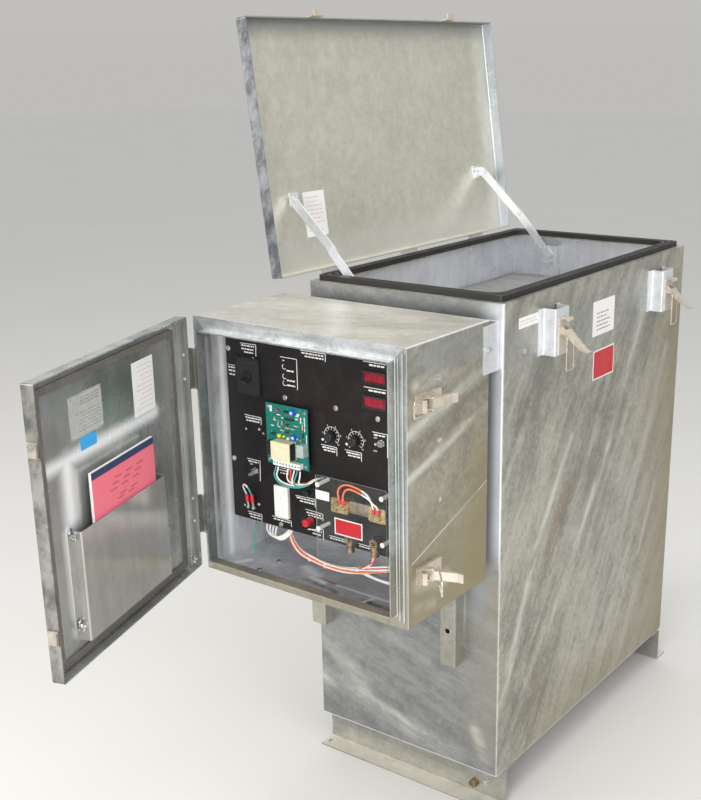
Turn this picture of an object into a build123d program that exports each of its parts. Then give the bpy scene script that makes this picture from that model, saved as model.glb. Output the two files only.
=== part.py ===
from build123d import *
from math import atan2, cos, degrees, hypot, radians, sin
import os

# Liquid-filled rectifier enclosure: a deep tank with a hinged, gasketed lid and a
# wiring cabinet with a hinged door on its front. All lengths are in millimetres.
# The model is laid out with X to the right, Y from front to back and Z up, with the
# tank centred on X, its front wall on Y = 0 and the floor on Z = 0. Every piece is
# moved at the end, so that the origin is the bottom centre of the whole object.

# Tank
TANK_WIDTH = 490.0
TANK_DEPTH = 880.0
TANK_HEIGHT = 1057.0
TANK_WALL = 3.0
TANK_BEND = 5.0
FOOT_HEIGHT = 90.0
RIM_WIDTH = 37.0
RIM_CORNER = 35.0

# Rim gasket
GASKET_MARGIN = 13.5
GASKET_WIDTH = 22.0
GASKET_HEIGHT = 12.4
GASKET_GROOVE = 3.0
GASKET_GROOVE_DEPTH = 2.5

# Feet
FOOT_SHEET = 3.0
FOOT_SET_IN = 38.0
FOOT_LOWER_FLANGE = 44.0
FOOT_UPPER_FLANGE = 45.0
FOOT_END_OUT = 3.0
FOOT_LENGTH = TANK_WIDTH + 2 * FOOT_END_OUT
FOOT_REAR_SET_IN = 14.0
FOOT_HOLE_R = 7.0
FOOT_HOLE_FROM_END = 15.0
FOOT_HOLE_FROM_EDGE = 20.0

# Core and stack inside the tank
DECK_DROP = 113.0
DECK_GAP = 6.0
DECK_SHEET = 3.0
SHELF_HEIGHT = 330.0
RACK_LEG = 30.0
DECK_HOLE_R = 20.0
SHELF_HOLE_R = 18.0
DECK_HOLE_SHARE = 0.64
SHELF_HOLE_SHARES = ((-0.5, 0.0, 0.5), (0.16, 0.59, 0.86))
CORE_SIZE = (300.0, 110.0, 300.0)
CORE_WINDOW = 60.0
CORE_LIMB = 60.0
COIL_WALL = 52.0
CORE_Y = 300.0
FIN_COUNT = 7
FIN_SIZE = 120.0
FIN_SHEET = 3.0
FIN_PITCH = 22.0
FIN_ROD_R = 8.0
FIN_Y = 620.0

# Lid
SHEET = 2.5
LID_BEND = 5.0
LID_SIDE_OVERHANG = 26.5
LID_FRONT_OVERHANG = 44.0
LID_REAR_OVERHANG = 45.0
LID_DEPTH = 29.5
LID_SEAL_GAP = 0.4
LID_OPEN = 97.5

# Lid hinges
LID_HINGE_OUT = 16.2
LID_HINGE_UP = 3.5
LID_HINGE_Y = (130.0, 440.0, 750.0)
LID_HINGE_LENGTH = 72.0
LID_BARREL_R = 6.0
LID_PIN_R = 3.0
LID_LEAF_SHEET = 3.0
LID_LEAF_DROP = 36.0
LID_STRAP_HEIGHT = 22.0

# Lid stays
STAY_LID_U = 160.0
STAY_LID_DROP = 12.5
STAY_BOLT_X = -115.0
STAY_BOLT_DROP = 47.0
STAY_UPPER = 150.1
STAY_LOWER = 144.4
STAY_HALF_WIDTH = 10.0
STAY_SHEET = 4.0
STAY_PIN_R = 4.0
STAY_GAP = 0.5
STAY_RIM_GAP = 1.5
STAY_HAT_WIDTH = 39.0
STAY_HAT_HEIGHT = 46.0
STAY_HAT_SHEET = 3.0
STAY_LUG_SHEET = 3.0
STAY_LUG_R = 11.0
STAY_FOOT_WIDTH = 32.0
STAY_FOOT_LENGTH = 30.0
STAY_HEAD_R = 7.0
STAY_HEAD_HEIGHT = 2.0

# Cabinet
CAB_LEFT = -287.2
CAB_WIDTH = 519.6
CAB_BACK = -34.0
CAB_DEPTH = 281.0
CAB_TOP_DROP = 25.1
CAB_HEIGHT = 545.8
CAB_BEND = 3.5
CAB_FLANGE = 25.0
RAIN_LIP = 20.0
RAIN_LIP_CORNER = 4.0

# Cabinet supports and cable passage
RAIL_X = (-221.0, 137.0)
RAIL_WIDTH = 40.0
RAIL_SHEET = 3.0
RAIL_BOTTOM = 347.0
RAIL_TOP = 1100.0
RAIL_HOLE_R = 6.0
RAIL_HOLE_Z = 430.0
ANGLE_SHEET = 3.0
SIDE_ANGLE_LEG = 24.0
SIDE_ANGLE_RETURN = 30.0
SIDE_ANGLE_Z = (1016.0, 1112.0)
NIPPLE_R = 25.0
NIPPLE_BORE = 20.0
NIPPLE_Z = 1080.0
NIPPLE_STICKOUT = 16.0
LOCKNUT_R = 34.0
LOCKNUT_THICK = 6.0

# Door
DOOR_LEFT = -292.0
DOOR_WIDTH = 529.8
DOOR_BOTTOM = 589.0
DOOR_HEIGHT = 533.5
DOOR_DEPTH = 25.7
DOOR_GAP = 1.0
DOOR_BEND = 4.0
DOOR_OPEN = 71.7
DOOR_SEAL_WIDTH = 14.0
DOOR_SEAL_GAP = 0.3

# Door hinges
DOOR_HINGE_X = -301.1
DOOR_HINGE_Y = -329.4
DOOR_HINGE_Z = (652.0, 967.0)
DOOR_HINGE_LENGTH = 85.0
DOOR_BARREL_R = 5.0
DOOR_PIN_R = 2.5
DOOR_LEAF_SHEET = 2.5
DOOR_LEAF_REACH = 36.0

# Document pocket on the door
POCKET_FROM_HINGE = (128.0, 432.0)
POCKET_FROM_BOTTOM = (36.0, 244.0)
POCKET_DEPTH = 20.0
POCKET_SHEET = 1.5
POCKET_TAB = 12.0
POCKET_EAR = 60.0
MANUAL_FROM_HINGE = (156.0, 380.0)
MANUAL_FROM_BOTTOM = (40.0, 332.0)
MANUAL_THICK = 6.0

# Draw latches, in their own axes: u towards the keeper, n off the mounting face, w across
LATCH_PIVOT_N = 14.0
LATCH_LINK = (-10.0, -4.0)
LATCH_BAR = (60.0, 5.0)
LATCH_WIRE_R = 1.6
LATCH_WIRE_BEND = 4.0
LATCH_LEG_W = 15.3
LATCH_HANDLE_LENGTH = 62.0
LATCH_HANDLE_HALF = 9.0
LATCH_SHEET = 2.0
LATCH_BASE_SHEET = 2.5
LATCH_BASE_HALF = 17.0
LATCH_BASE_U = (-48.0, 33.0)
LATCH_LIP_HEIGHT = 20.0
LATCH_LIP_HALF = 12.0
LATCH_EAR_R = 5.5
LATCH_RIVET_R = 2.0
LATCH_HEAD_R = 4.0
KEEPER_SHEET = 2.5
KEEPER_LEDGE_N = 9.0
KEEPER_LEDGE_HALF = 11.0
KEEPER_PLAY = 0.3

# Where the latches stand
HAT_OUT = 33.0
HAT_SHEET = 3.0
HAT_FACE = 57.0
HAT_FLANGE = 16.0
HAT_HEIGHT = 98.0
TANK_LATCH_Y = (178.5, 710.0)
TANK_LATCH_DROP = 82.0
TANK_LATCH_REST = 50.0
TANK_BAIL_REST = 180.0
TANK_KEEPER_HALF = 20.0
TANK_KEEPER_RISE = 92.0
CAB_LATCH_DROP = (135.0, 470.0)
CAB_LATCH_Y = -261.0
CAB_LATCH_PAD = 5.0
CAB_LATCH_REST = (12.0, 75.0)
CAB_BAIL_RATIO = 0.583
CAB_KEEPER_HALF = 14.0
CAB_KEEPER_RISE = 77.0

# Instrument panel
PANEL_FRONT = -229.0
PANEL_SHEET = 5.0
PANEL_BOTTOM = 669.0
PANEL_TOP_GAP = 6.0
PANEL_SIDE_GAP = 1.0
PANEL_ANGLE_LEG = 22.0
PANEL_SCREWS = ((-276.0, 1039.0), (-275.0, 800.0), (-126.0, 956.0), (4.0, 955.0), (106.0, 950.0), (-151.0, 676.0))

# Controls on the panel: X and Z of each
BREAKER_AT = (-222.0, 987.5)
BREAKER_SIZE = (66.0, 79.0)
BREAKER_RAISE = 6.0
BREAKER_BODY_DEPTH = 62.0
BREAKER_HUB_R = 12.0
BREAKER_HUB_WIDTH = 20.0
BREAKER_LEVER = 11.0
BREAKER_PIN_R = 2.0
BREAKER_SWING = 25.0
METER_AT = ((99.0, 1029.5), (99.0, 980.5))
METER_SIZE = (56.0, 26.0)
METER_WINDOW = (50.0, 19.0)
METER_DEPTH = 42.0
METER_RAISE = 3.5
TOGGLE_AT = ((-216.0, 783.0), (114.0, 903.0))
TOGGLE_BUSH_R = 6.0
TOGGLE_BORE_R = 3.9
TOGGLE_BUSH_OUT = 9.0
TOGGLE_ROOT_R = 3.0
TOGGLE_ROOT_LENGTH = 4.0
TOGGLE_LEVER_R = 1.6
TOGGLE_LEVER_LENGTH = 17.0
TOGGLE_TILT = 12.0
TOGGLE_NUT = 14.0
DIAL_AT = ((-9.0, 896.0), (51.0, 897.0))
DIAL_R = 9.0
DIAL_HEIGHT = 12.0
DIAL_SHAFT_R = 3.0
POT_R = 12.0
FUSE_AT = ((-68.0, 704.0), (-70.0, 765.0))
FUSE_CAP_R = (8.0, 7.0)
FUSE_CAP_LENGTH = (20.0, 13.0)
FUSE_STEM_R = 5.0
FUSE_COLLAR_R = 9.5
FUSE_BODY_DEPTH = 38.0

# Circuit board
BOARD_X = (-171.0, -61.0)
BOARD_Z = (814.0, 943.0)
BOARD_OFF = 9.4
BOARD_SHEET = 1.6
BOARD_POST_R = 3.0
BOARD_BLOCKS = (
    ((-142.0, -93.0), (832.0, 871.0), 22.0),
    ((-161.0, -147.0), (837.0, 866.0), 14.0),
    ((-80.0, -62.0), (845.0, 871.0), 15.0),
    ((-147.0, -76.0), (816.0, 828.0), 11.0),
    ((-103.0, -93.0), (927.0, 937.0), 7.0),
    ((-101.0, -91.0), (875.0, 885.0), 7.0),
)

# Shunt, terminals and their clear cover
COVER_X = (-28.0, 146.0)
COVER_Z = (645.0, 821.0)
COVER_OFF = 30.0
COVER_SHEET = 3.0
POST_R = 4.0
POST_AT = ((-21.0, 802.0), (-22.0, 708.0), (136.0, 804.0), (137.0, 709.0))
SHUNT_X = ((1.0, 44.0), (94.0, 135.0))
SHUNT_Z = (746.0, 777.0)
SHUNT_DEPTH = 21.0
SHUNT_BLADE = 3.0
LUG_AT = ((41.0, 692.0), (102.0, 697.0))
LUG_BARREL_R = 9.0
LUG_BARREL_LENGTH = 22.0
LUG_TANG = 7.5
LUG_STUD_R = 4.0
LUG_NUT = 19.0
STRIP_X = (-163.0, -125.0)
STRIP_Z = (694.0, 764.0)
STRIP_RAISE = 6.0
STRIP_BEHIND = 24.0
END_BLOCK_X = (165.0, 205.0)
END_BLOCK_Z = (677.0, 737.0)

# Wiring, with the places that the looms bend at
LOOM_R = 6.0
LOOM_END_Z = (662.0, 657.0)
LOOM_BENDS = (
    (-107.0, -236.0, 640.0),
    (-56.0, -250.0, 633.0),
    (0.0, -252.0, 625.5),
    (55.0, -251.0, 630.0),
    (105.0, -248.0, 642.0),
    (150.0, -238.0, 653.0),
)
BOARD_LOOM_R = 4.0
BOARD_LOOM_X = -111.0
BOARD_LOOM_DROP_Z = 795.0
BOARD_LOOM_BENDS = ((-93.0, -250.0, 779.0), (-67.0, -250.0, 785.0), (-40.0, -247.0, 801.0))

# Fasteners
BOLT_R = 3.0
BOLT_FLATS = 10.0
BOLT_HEAD = 4.5
BOLT_HOLE_PLAY = 0.3
SCREW_HEAD_R = 5.5
SCREW_HEAD = 3.0
EARTH_FLATS = 17.0
EARTH_LENGTH = 16.0

# Clearances
RUN = 0.05
GAP = 0.4

# Heights on the cabinet, its door and its panel are drawn for a tank top at DRAWN_TOP
DRAWN_TOP = 1147.0
TANK_TOP = FOOT_HEIGHT + TANK_HEIGHT
LIFT = TANK_TOP - DRAWN_TOP


def raised(height):
    """A drawn height, or a group of them, moved with the real top of the tank."""
    if isinstance(height, tuple):
        return tuple(raised(value) for value in height)
    return height + LIFT


def raised_places(*places):
    """Places that end in a height, with only their heights moved."""
    return tuple((*place[:-1], raised(place[-1])) for place in places)


DOOR_BOTTOM = raised(DOOR_BOTTOM)
DOOR_HINGE_Z = raised(DOOR_HINGE_Z)
SIDE_ANGLE_Z = raised(SIDE_ANGLE_Z)
NIPPLE_Z = raised(NIPPLE_Z)
RAIL_BOTTOM, RAIL_TOP, RAIL_HOLE_Z = raised((RAIL_BOTTOM, RAIL_TOP, RAIL_HOLE_Z))
PANEL_BOTTOM = raised(PANEL_BOTTOM)
BOARD_Z, COVER_Z, SHUNT_Z = raised((BOARD_Z, COVER_Z, SHUNT_Z))
STRIP_Z, END_BLOCK_Z = raised((STRIP_Z, END_BLOCK_Z))
BREAKER_AT = raised_places(BREAKER_AT)[0]
METER_AT = raised_places(*METER_AT)
TOGGLE_AT = raised_places(*TOGGLE_AT)
DIAL_AT = raised_places(*DIAL_AT)
FUSE_AT = raised_places(*FUSE_AT)
POST_AT = raised_places(*POST_AT)
LUG_AT = raised_places(*LUG_AT)
PANEL_SCREWS = raised_places(*PANEL_SCREWS)
BOARD_BLOCKS = tuple((x, raised(z), height) for x, z, height in BOARD_BLOCKS)
LOOM_END_Z, BOARD_LOOM_DROP_Z = raised((LOOM_END_Z, BOARD_LOOM_DROP_Z))
LOOM_BENDS = raised_places(*LOOM_BENDS)
BOARD_LOOM_BENDS = raised_places(*BOARD_LOOM_BENDS)

# Levels and faces that several pieces share
HALF = TANK_WIDTH / 2
SKIN_INNER = TANK_TOP + GASKET_HEIGHT + LID_SEAL_GAP
LID_TOP = SKIN_INNER + SHEET
LID_LIP = LID_TOP - LID_DEPTH
LID_EDGE = HALF + LID_SIDE_OVERHANG
LID_HINGE_X = -LID_EDGE - LID_HINGE_OUT
LID_HINGE_Z = LID_LIP + LID_HINGE_UP
CAB_TOP = TANK_TOP - CAB_TOP_DROP
CAB_BOTTOM = CAB_TOP - CAB_HEIGHT
CAB_RIGHT = CAB_LEFT + CAB_WIDTH
CAB_FRONT = CAB_BACK - CAB_DEPTH
LIP_FRONT = CAB_FRONT - RAIN_LIP
DOOR_LIP = CAB_FRONT - DOOR_GAP
DOOR_SKIN = DOOR_LIP - DOOR_DEPTH
DOOR_RIGHT = DOOR_LEFT + DOOR_WIDTH
DOOR_TOP = DOOR_BOTTOM + DOOR_HEIGHT
PANEL_BACK = PANEL_FRONT + PANEL_SHEET
PANEL_X = (CAB_LEFT + SHEET + PANEL_SIDE_GAP, CAB_RIGHT - SHEET - PANEL_SIDE_GAP)
PANEL_Z = (PANEL_BOTTOM, CAB_TOP - SHEET - PANEL_TOP_GAP)
DECK_TOP = TANK_TOP - DECK_DROP


def span(x, y, z):
    """Block between a low and a high value on each axis."""
    centre = Pos((x[0] + x[1]) / 2, (y[0] + y[1]) / 2, (z[0] + z[1]) / 2)
    return centre * Box(x[1] - x[0], y[1] - y[0], z[1] - z[0])


def rounded(x, y, z, radius, axis=Axis.Z):
    """Block with its four edges along one axis rounded."""
    body = span(x, y, z)
    return fillet(body.edges().filter_by(axis), radius)


def ring(x, y, z, margin, outer_radius, inner_radius, axis=Axis.Z):
    """Flat frame round an opening: the block less the same block set in by a margin."""
    sides = [x, y, z]
    for index, name in enumerate((Axis.X, Axis.Y, Axis.Z)):
        if name.direction == axis.direction:
            continue
        sides[index] = (sides[index][0] + margin, sides[index][1] - margin)
    return rounded(x, y, z, outer_radius, axis) - rounded(*sides, inner_radius, axis)


def tray(x, y, z, wall, bend, axis, skin):
    """Folded tray, closed by its skin at the low (0) or high (-1) end of an axis."""
    body = span(x, y, z)
    folds = body.edges().filter_by(axis) + body.faces().sort_by(axis)[skin].edges()
    body = fillet(folds, bend)
    return offset(body, amount=-wall, openings=body.faces().sort_by(axis)[-1 - skin])


def peg(start, direction, radius, length):
    """Round bar from a point."""
    bar = Cylinder(radius, length, align=(Align.CENTER, Align.CENTER, Align.MIN))
    return Plane(origin=start, z_dir=direction) * bar


def hexagon(start, direction, flats, height):
    """Six-sided nut or head from a point."""
    blank = extrude(RegularPolygon(flats / 2, 6, major_radius=False), height)
    return Plane(origin=start, z_dir=direction) * blank


def bent(points, sheet, width, plane, bend=None):
    """Sheet folded along a line; its thickness lies to the left, or to the right if negative."""
    line = FilletPolyline(*points, radius=bend or abs(sheet) + 0.5)
    side = Side.LEFT if sheet > 0 else Side.RIGHT
    outline = offset(line, amount=abs(sheet), side=side, closed=True)
    return extrude(plane * make_face(outline), width)


def outline_plate(points, plane, thickness):
    """Flat plate of a closed outline, its thickness along the plane's normal."""
    return extrude(plane * make_face(Polyline(*points, close=True)), thickness)


def bolt(start, direction, grip):
    """Hexagon bolt whose head stands on the start point and whose shank runs the other way."""
    back = tuple(-value for value in direction)
    return hexagon(start, direction, BOLT_FLATS, BOLT_HEAD) + peg(start, back, BOLT_R, grip)


def bolt_hole(start, direction, depth):
    """Clearance hole for a bolt, cut through from both sides of the start point."""
    start = tuple(s + value for s, value in zip(start, direction))
    back = tuple(-value for value in direction)
    return peg(start, back, BOLT_R + BOLT_HOLE_PLAY, depth + 1)


def hinge(plane, length, fixed, moving, sheets, barrel_r, pin_r):
    """Three-knuckle hinge along a plane's normal: fixed leaf, moving leaf and pin."""
    third = length / 3
    turned = Location(plane)
    up = plane.z_dir

    def section(low, high, radius):
        return turned * Pos(0, 0, low) * Cylinder(
            radius, high - low, align=(Align.CENTER, Align.CENTER, Align.MIN)
        )

    ends = ((0, third - GAP / 2), (2 * third + GAP / 2, length))
    middle = (third + GAP / 2, 2 * third - GAP / 2)
    fixed_leaf = bent(fixed, sheets[0], length, plane)
    fixed_leaf -= section(third - GAP / 2, 2 * third + GAP / 2, barrel_r + GAP)
    for low, high in ends:
        fixed_leaf += section(low, high, barrel_r)
    fixed_leaf -= section(-1, length + 1, pin_r + RUN / 2)
    moving_leaf = bent(moving, sheets[1], length, plane)
    moving_leaf -= section(-1, third + GAP / 2, barrel_r + GAP)
    moving_leaf -= section(2 * third - GAP / 2, length + 1, barrel_r + GAP)
    moving_leaf += section(*middle, barrel_r)
    moving_leaf -= section(-1, length + 1, pin_r + RUN)
    pin = section(-2, length, pin_r) + section(-3.5, -GAP / 2, barrel_r - 1)
    return fixed_leaf, moving_leaf, pin


def save(shape, node):
    """Store a piece, or a group of alike pieces, under its name."""
    pieces = shape if isinstance(shape, (list, tuple)) else [shape]
    solids = [solid for piece in pieces for solid in piece.solids()]
    NODES[node] = solids


NODES = {}

# Tank shell: a folded and welded box with a rim turned inwards all round
tank_x = (-HALF, HALF)
tank_y = (0, TANK_DEPTH)
body = span(tank_x, tank_y, (FOOT_HEIGHT, TANK_TOP - TANK_WALL))
body = fillet(body.edges().filter_by(Axis.Z), TANK_BEND)
tank = offset(body, amount=-TANK_WALL, openings=body.faces().sort_by(Axis.Z)[-1])
rim = rounded(tank_x, tank_y, (TANK_TOP - TANK_WALL, TANK_TOP), TANK_BEND)
rim -= rounded(
    (-HALF + RIM_WIDTH, HALF - RIM_WIDTH),
    (RIM_WIDTH, TANK_DEPTH - RIM_WIDTH),
    (TANK_TOP - TANK_WALL, TANK_TOP),
    RIM_CORNER,
)
tank += rim
tank -= peg((0, -1, NIPPLE_Z), (0, 1, 0), NIPPLE_R + BOLT_HOLE_PLAY, TANK_WALL + 2)
TANK_BOLT = (HALF, 76.0, TANK_TOP - 108.0)
tank -= bolt_hole(TANK_BOLT, (1, 0, 0), 2 * TANK_WALL)
save(tank, "tank_shell")

# Rim gasket: three ribs left between two grooves
seal_x = (-HALF + GASKET_MARGIN, HALF - GASKET_MARGIN)
seal_y = (GASKET_MARGIN, TANK_DEPTH - GASKET_MARGIN)
seal_z = (TANK_TOP, TANK_TOP + GASKET_HEIGHT)
gasket = ring(seal_x, seal_y, seal_z, GASKET_WIDTH, 8, RIM_CORNER - 2)
rib = (GASKET_WIDTH - 2 * GASKET_GROOVE) / 3
for index in (1, 2):
    inset = index * rib + (index - 1) * GASKET_GROOVE
    gasket -= ring(
        (seal_x[0] + inset, seal_x[1] - inset),
        (seal_y[0] + inset, seal_y[1] - inset),
        (TANK_TOP + GASKET_HEIGHT - GASKET_GROOVE_DEPTH, TANK_TOP + GASKET_HEIGHT),
        GASKET_GROOVE,
        8 + inset * 1.2,
        8 + (inset + GASKET_GROOVE) * 1.2,
    )
save(gasket, "tank_gasket")

# Feet: one folded Z-section across the front, the same one turned round at the back
foot_line = (
    (FOOT_SET_IN - FOOT_LOWER_FLANGE, 0),
    (FOOT_SET_IN + FOOT_SHEET, 0),
    (FOOT_SET_IN + FOOT_SHEET, FOOT_HEIGHT - FOOT_SHEET),
    (FOOT_SET_IN + FOOT_UPPER_FLANGE, FOOT_HEIGHT - FOOT_SHEET),
)
foot_plane = Plane(origin=(-FOOT_LENGTH / 2, 0, 0), x_dir=(0, 1, 0), z_dir=(1, 0, 0))
front_foot = bent(foot_line, FOOT_SHEET, FOOT_LENGTH, foot_plane)
foot_hole_x = FOOT_LENGTH / 2 - FOOT_HOLE_FROM_END
foot_hole_y = FOOT_SET_IN - FOOT_LOWER_FLANGE + FOOT_HOLE_FROM_EDGE
for side in (-1, 1):
    front_foot -= peg((side * foot_hole_x, foot_hole_y, -1), (0, 0, 1), FOOT_HOLE_R, FOOT_SHEET + 2)
rear_axis_y = (TANK_DEPTH - FOOT_REAR_SET_IN + FOOT_SET_IN) / 2
rear_foot = front_foot.rotate(Axis((0, rear_axis_y, 0), (0, 0, 1)), 180)
EARTH_X = (169.0, 198.0)
EARTH_Z = (30.0, 39.0)
for x, z in zip(EARTH_X, EARTH_Z):
    front_foot -= bolt_hole((x, FOOT_SET_IN, z), (0, -1, 0), FOOT_SHEET + 2)
save([front_foot, rear_foot], "feet")

# Deck and shelf on four angle legs, which lift out of the tank in one piece
inner_x = HALF - TANK_WALL - DECK_GAP
inner_y = (TANK_WALL + DECK_GAP, TANK_DEPTH - TANK_WALL - DECK_GAP)
tank_floor = FOOT_HEIGHT + TANK_WALL
rack = rounded((-inner_x, inner_x), inner_y, (DECK_TOP - DECK_SHEET, DECK_TOP), 12)
shelf_y = (inner_y[0] + 20, inner_y[1] - 20)
rack += span((-inner_x + 4, inner_x - 4), shelf_y, (SHELF_HEIGHT - DECK_SHEET, SHELF_HEIGHT))
for side_x in (-1, 1):
    for y_line in (shelf_y[0], shelf_y[1]):
        towards = 1 if y_line == shelf_y[0] else -1
        corner = (side_x * (inner_x - 4), y_line)
        for leg_x, leg_y in ((RACK_LEG, DECK_SHEET), (DECK_SHEET, RACK_LEG)):
            xs = sorted((corner[0], corner[0] - side_x * leg_x))
            ys = sorted((corner[1], corner[1] + towards * leg_y))
            rack += span(xs, ys, (tank_floor, DECK_TOP - DECK_SHEET))
for side in (-1, 1):
    hole = (side * DECK_HOLE_SHARE * inner_x, TANK_DEPTH / 2, DECK_TOP + 1)
    rack -= peg(hole, (0, 0, -1), DECK_HOLE_R, DECK_SHEET + 2)
for share_x in SHELF_HOLE_SHARES[0]:
    for share_y in SHELF_HOLE_SHARES[1]:
        hole = (share_x * inner_x, share_y * TANK_DEPTH, SHELF_HEIGHT + 1)
        rack -= peg(hole, (0, 0, -1), SHELF_HOLE_R, DECK_SHEET + 2)
save(rack, "deck_rack")

# Transformer: a laminated core with two windows and one coil on its middle limb
core_x, core_y, core_z = CORE_SIZE
core_low = SHELF_HEIGHT
window_z = (core_low + CORE_LIMB, core_low + core_z - CORE_LIMB)
core = span((-core_x / 2, core_x / 2), (CORE_Y, CORE_Y + core_y), (core_low, core_low + core_z))
for side in (-1, 1):
    window_x = sorted((side * CORE_LIMB / 2, side * (CORE_LIMB / 2 + CORE_WINDOW)))
    core -= span(window_x, (CORE_Y - 1, CORE_Y + core_y + 1), window_z)
save(core, "transformer_core")
coil_x = CORE_LIMB / 2 + COIL_WALL
coil = rounded((-coil_x, coil_x), (CORE_Y - COIL_WALL, CORE_Y + core_y + COIL_WALL),
               (window_z[0] + 2, window_z[1] - 2), 30)
coil -= span((-CORE_LIMB / 2 - GAP, CORE_LIMB / 2 + GAP), (CORE_Y - GAP, CORE_Y + core_y + GAP),
             (window_z[0], window_z[1]))
save(coil, "transformer_coils")

# Rectifier stack: square cooling fins on one rod between two feet
rod_z = SHELF_HEIGHT + FIN_SIZE / 2 + 20
stack_half = (FIN_COUNT + 1) * FIN_PITCH / 2
rod = peg((-stack_half, FIN_Y, rod_z), (1, 0, 0), FIN_ROD_R, 2 * stack_half)
stack = rod
for index in range(FIN_COUNT):
    x = (index - (FIN_COUNT - 1) / 2) * FIN_PITCH
    stack += span((x - FIN_SHEET / 2, x + FIN_SHEET / 2),
                  (FIN_Y - FIN_SIZE / 2, FIN_Y + FIN_SIZE / 2),
                  (rod_z - FIN_SIZE / 2, rod_z + FIN_SIZE / 2))
for side in (-1, 1):
    xs = sorted((side * stack_half, side * (stack_half - FIN_SHEET)))
    stack += span(xs, (FIN_Y - 25, FIN_Y + 25), (SHELF_HEIGHT, rod_z + 20))
save(stack, "rectifier_stack")

# Lid: a folded tray, laid out closed and turned about its hinge line with all that it carries
LID_AXIS = Axis((LID_HINGE_X, 0, LID_HINGE_Z), (0, -1, 0))
lid_y = (-LID_FRONT_OVERHANG, TANK_DEPTH + LID_REAR_OVERHANG)
lid = tray((-LID_EDGE, LID_EDGE), lid_y, (LID_LIP, LID_TOP), SHEET, LID_BEND, Axis.Z, -1)
save(lid.rotate(LID_AXIS, LID_OPEN), "lid")

# Lid hinges: an angle on the tank wall carries the barrel just outside the lid's lip
wall_at = LID_HINGE_OUT + LID_SIDE_OVERHANG
shelf_at = 0.5 - LID_BARREL_R
lid_fixed = ((wall_at, -LID_LEAF_DROP - LID_BARREL_R), (wall_at, shelf_at), (-4, shelf_at))
neck = SHEET / 2
lid_moving = ((0, -neck), (LID_HINGE_OUT, -neck), (LID_HINGE_OUT, LID_STRAP_HEIGHT))
brackets, straps, pins = [], [], []
for y in LID_HINGE_Y:
    plane = Plane(
        origin=(LID_HINGE_X, y + LID_HINGE_LENGTH / 2, LID_HINGE_Z), x_dir=(1, 0, 0), z_dir=(0, -1, 0)
    )
    fixed_leaf, moving_leaf, pin = hinge(
        plane, LID_HINGE_LENGTH, lid_fixed, lid_moving, (LID_LEAF_SHEET, SHEET), LID_BARREL_R, LID_PIN_R
    )
    brackets.append(fixed_leaf)
    straps.append(moving_leaf.rotate(LID_AXIS, LID_OPEN))
    pins.append(pin)
save(brackets, "lid_hinge_brackets")
save(straps, "lid_hinge_leaves")

# Lid stays: a two-bar link at each end of the lid, nearly straight when the lid is open
stay_q = (-LID_EDGE + STAY_LID_U, SKIN_INNER - STAY_LID_DROP)
stay_t = (STAY_BOLT_X, TANK_TOP - STAY_BOLT_DROP)


def turned_about_lid_hinge(point, angle):
    """A point of the closed lid, in X and Z, with the lid raised by an angle."""
    x = point[0] - LID_HINGE_X
    z = point[1] - LID_HINGE_Z
    c, s = cos(radians(angle)), sin(radians(angle))
    return LID_HINGE_X + x * c - z * s, LID_HINGE_Z + x * s + z * c


def elbow(q, t):
    """Elbow of the stay between its lid pivot and its tank pivot, on the upper right side."""
    dx, dz = q[0] - t[0], q[1] - t[1]
    reach = hypot(dx, dz)
    along = (STAY_LOWER**2 - STAY_UPPER**2 + reach**2) / (2 * reach)
    across = max(STAY_LOWER**2 - along**2, 0) ** 0.5
    ux, uz = dx / reach, dz / reach
    return t[0] + along * ux + across * uz, t[1] + along * uz - across * ux


def heading(start, end):
    """Direction from one point to another, in degrees from +X towards +Z."""
    return degrees(atan2(end[1] - start[1], end[0] - start[0]))


q_open = turned_about_lid_hinge(stay_q, LID_OPEN)
elbow_open = elbow(q_open, stay_t)
elbow_shut = elbow(stay_q, stay_t)
LOWER_SWING = heading(stay_t, elbow_open) - heading(stay_t, elbow_shut)
UPPER_SWING = heading(stay_q, elbow_shut) - heading(q_open, elbow_open) + LID_OPEN

hat_face = RIM_WIDTH + STAY_RIM_GAP - STAY_GAP
lower_y = (hat_face + STAY_GAP, hat_face + STAY_GAP + STAY_SHEET)
upper_y = (lower_y[1] + STAY_GAP, lower_y[1] + STAY_GAP + STAY_SHEET)
lug_y = (upper_y[1] + STAY_GAP, upper_y[1] + STAY_GAP + STAY_LUG_SHEET)


def bar(start, end, y, pin_hole):
    """Flat bar with round ends between two points in X and Z, with a hole at its start."""
    length = hypot(end[0] - start[0], end[1] - start[1])
    plane = Plane(
        origin=(start[0], y[1], start[1]),
        x_dir=(end[0] - start[0], 0, end[1] - start[1]),
        z_dir=(0, -1, 0),
    )
    outline = SlotCenterToCenter(length, 2 * STAY_HALF_WIDTH)
    blank = extrude(plane * (Pos(length / 2, 0) * outline), y[1] - y[0])
    return blank - peg((start[0], y[0] - 1, start[1]), (0, 1, 0), pin_hole, y[1] - y[0] + 2)


lower_arm = bar(stay_t, elbow_open, lower_y, STAY_PIN_R + RUN)
upper_arm = bar(q_open, elbow_open, upper_y, STAY_PIN_R + RUN)
upper_arm += peg((elbow_open[0], upper_y[1], elbow_open[1]), (0, 1, 0), STAY_HEAD_R, STAY_HEAD_HEIGHT)

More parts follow.
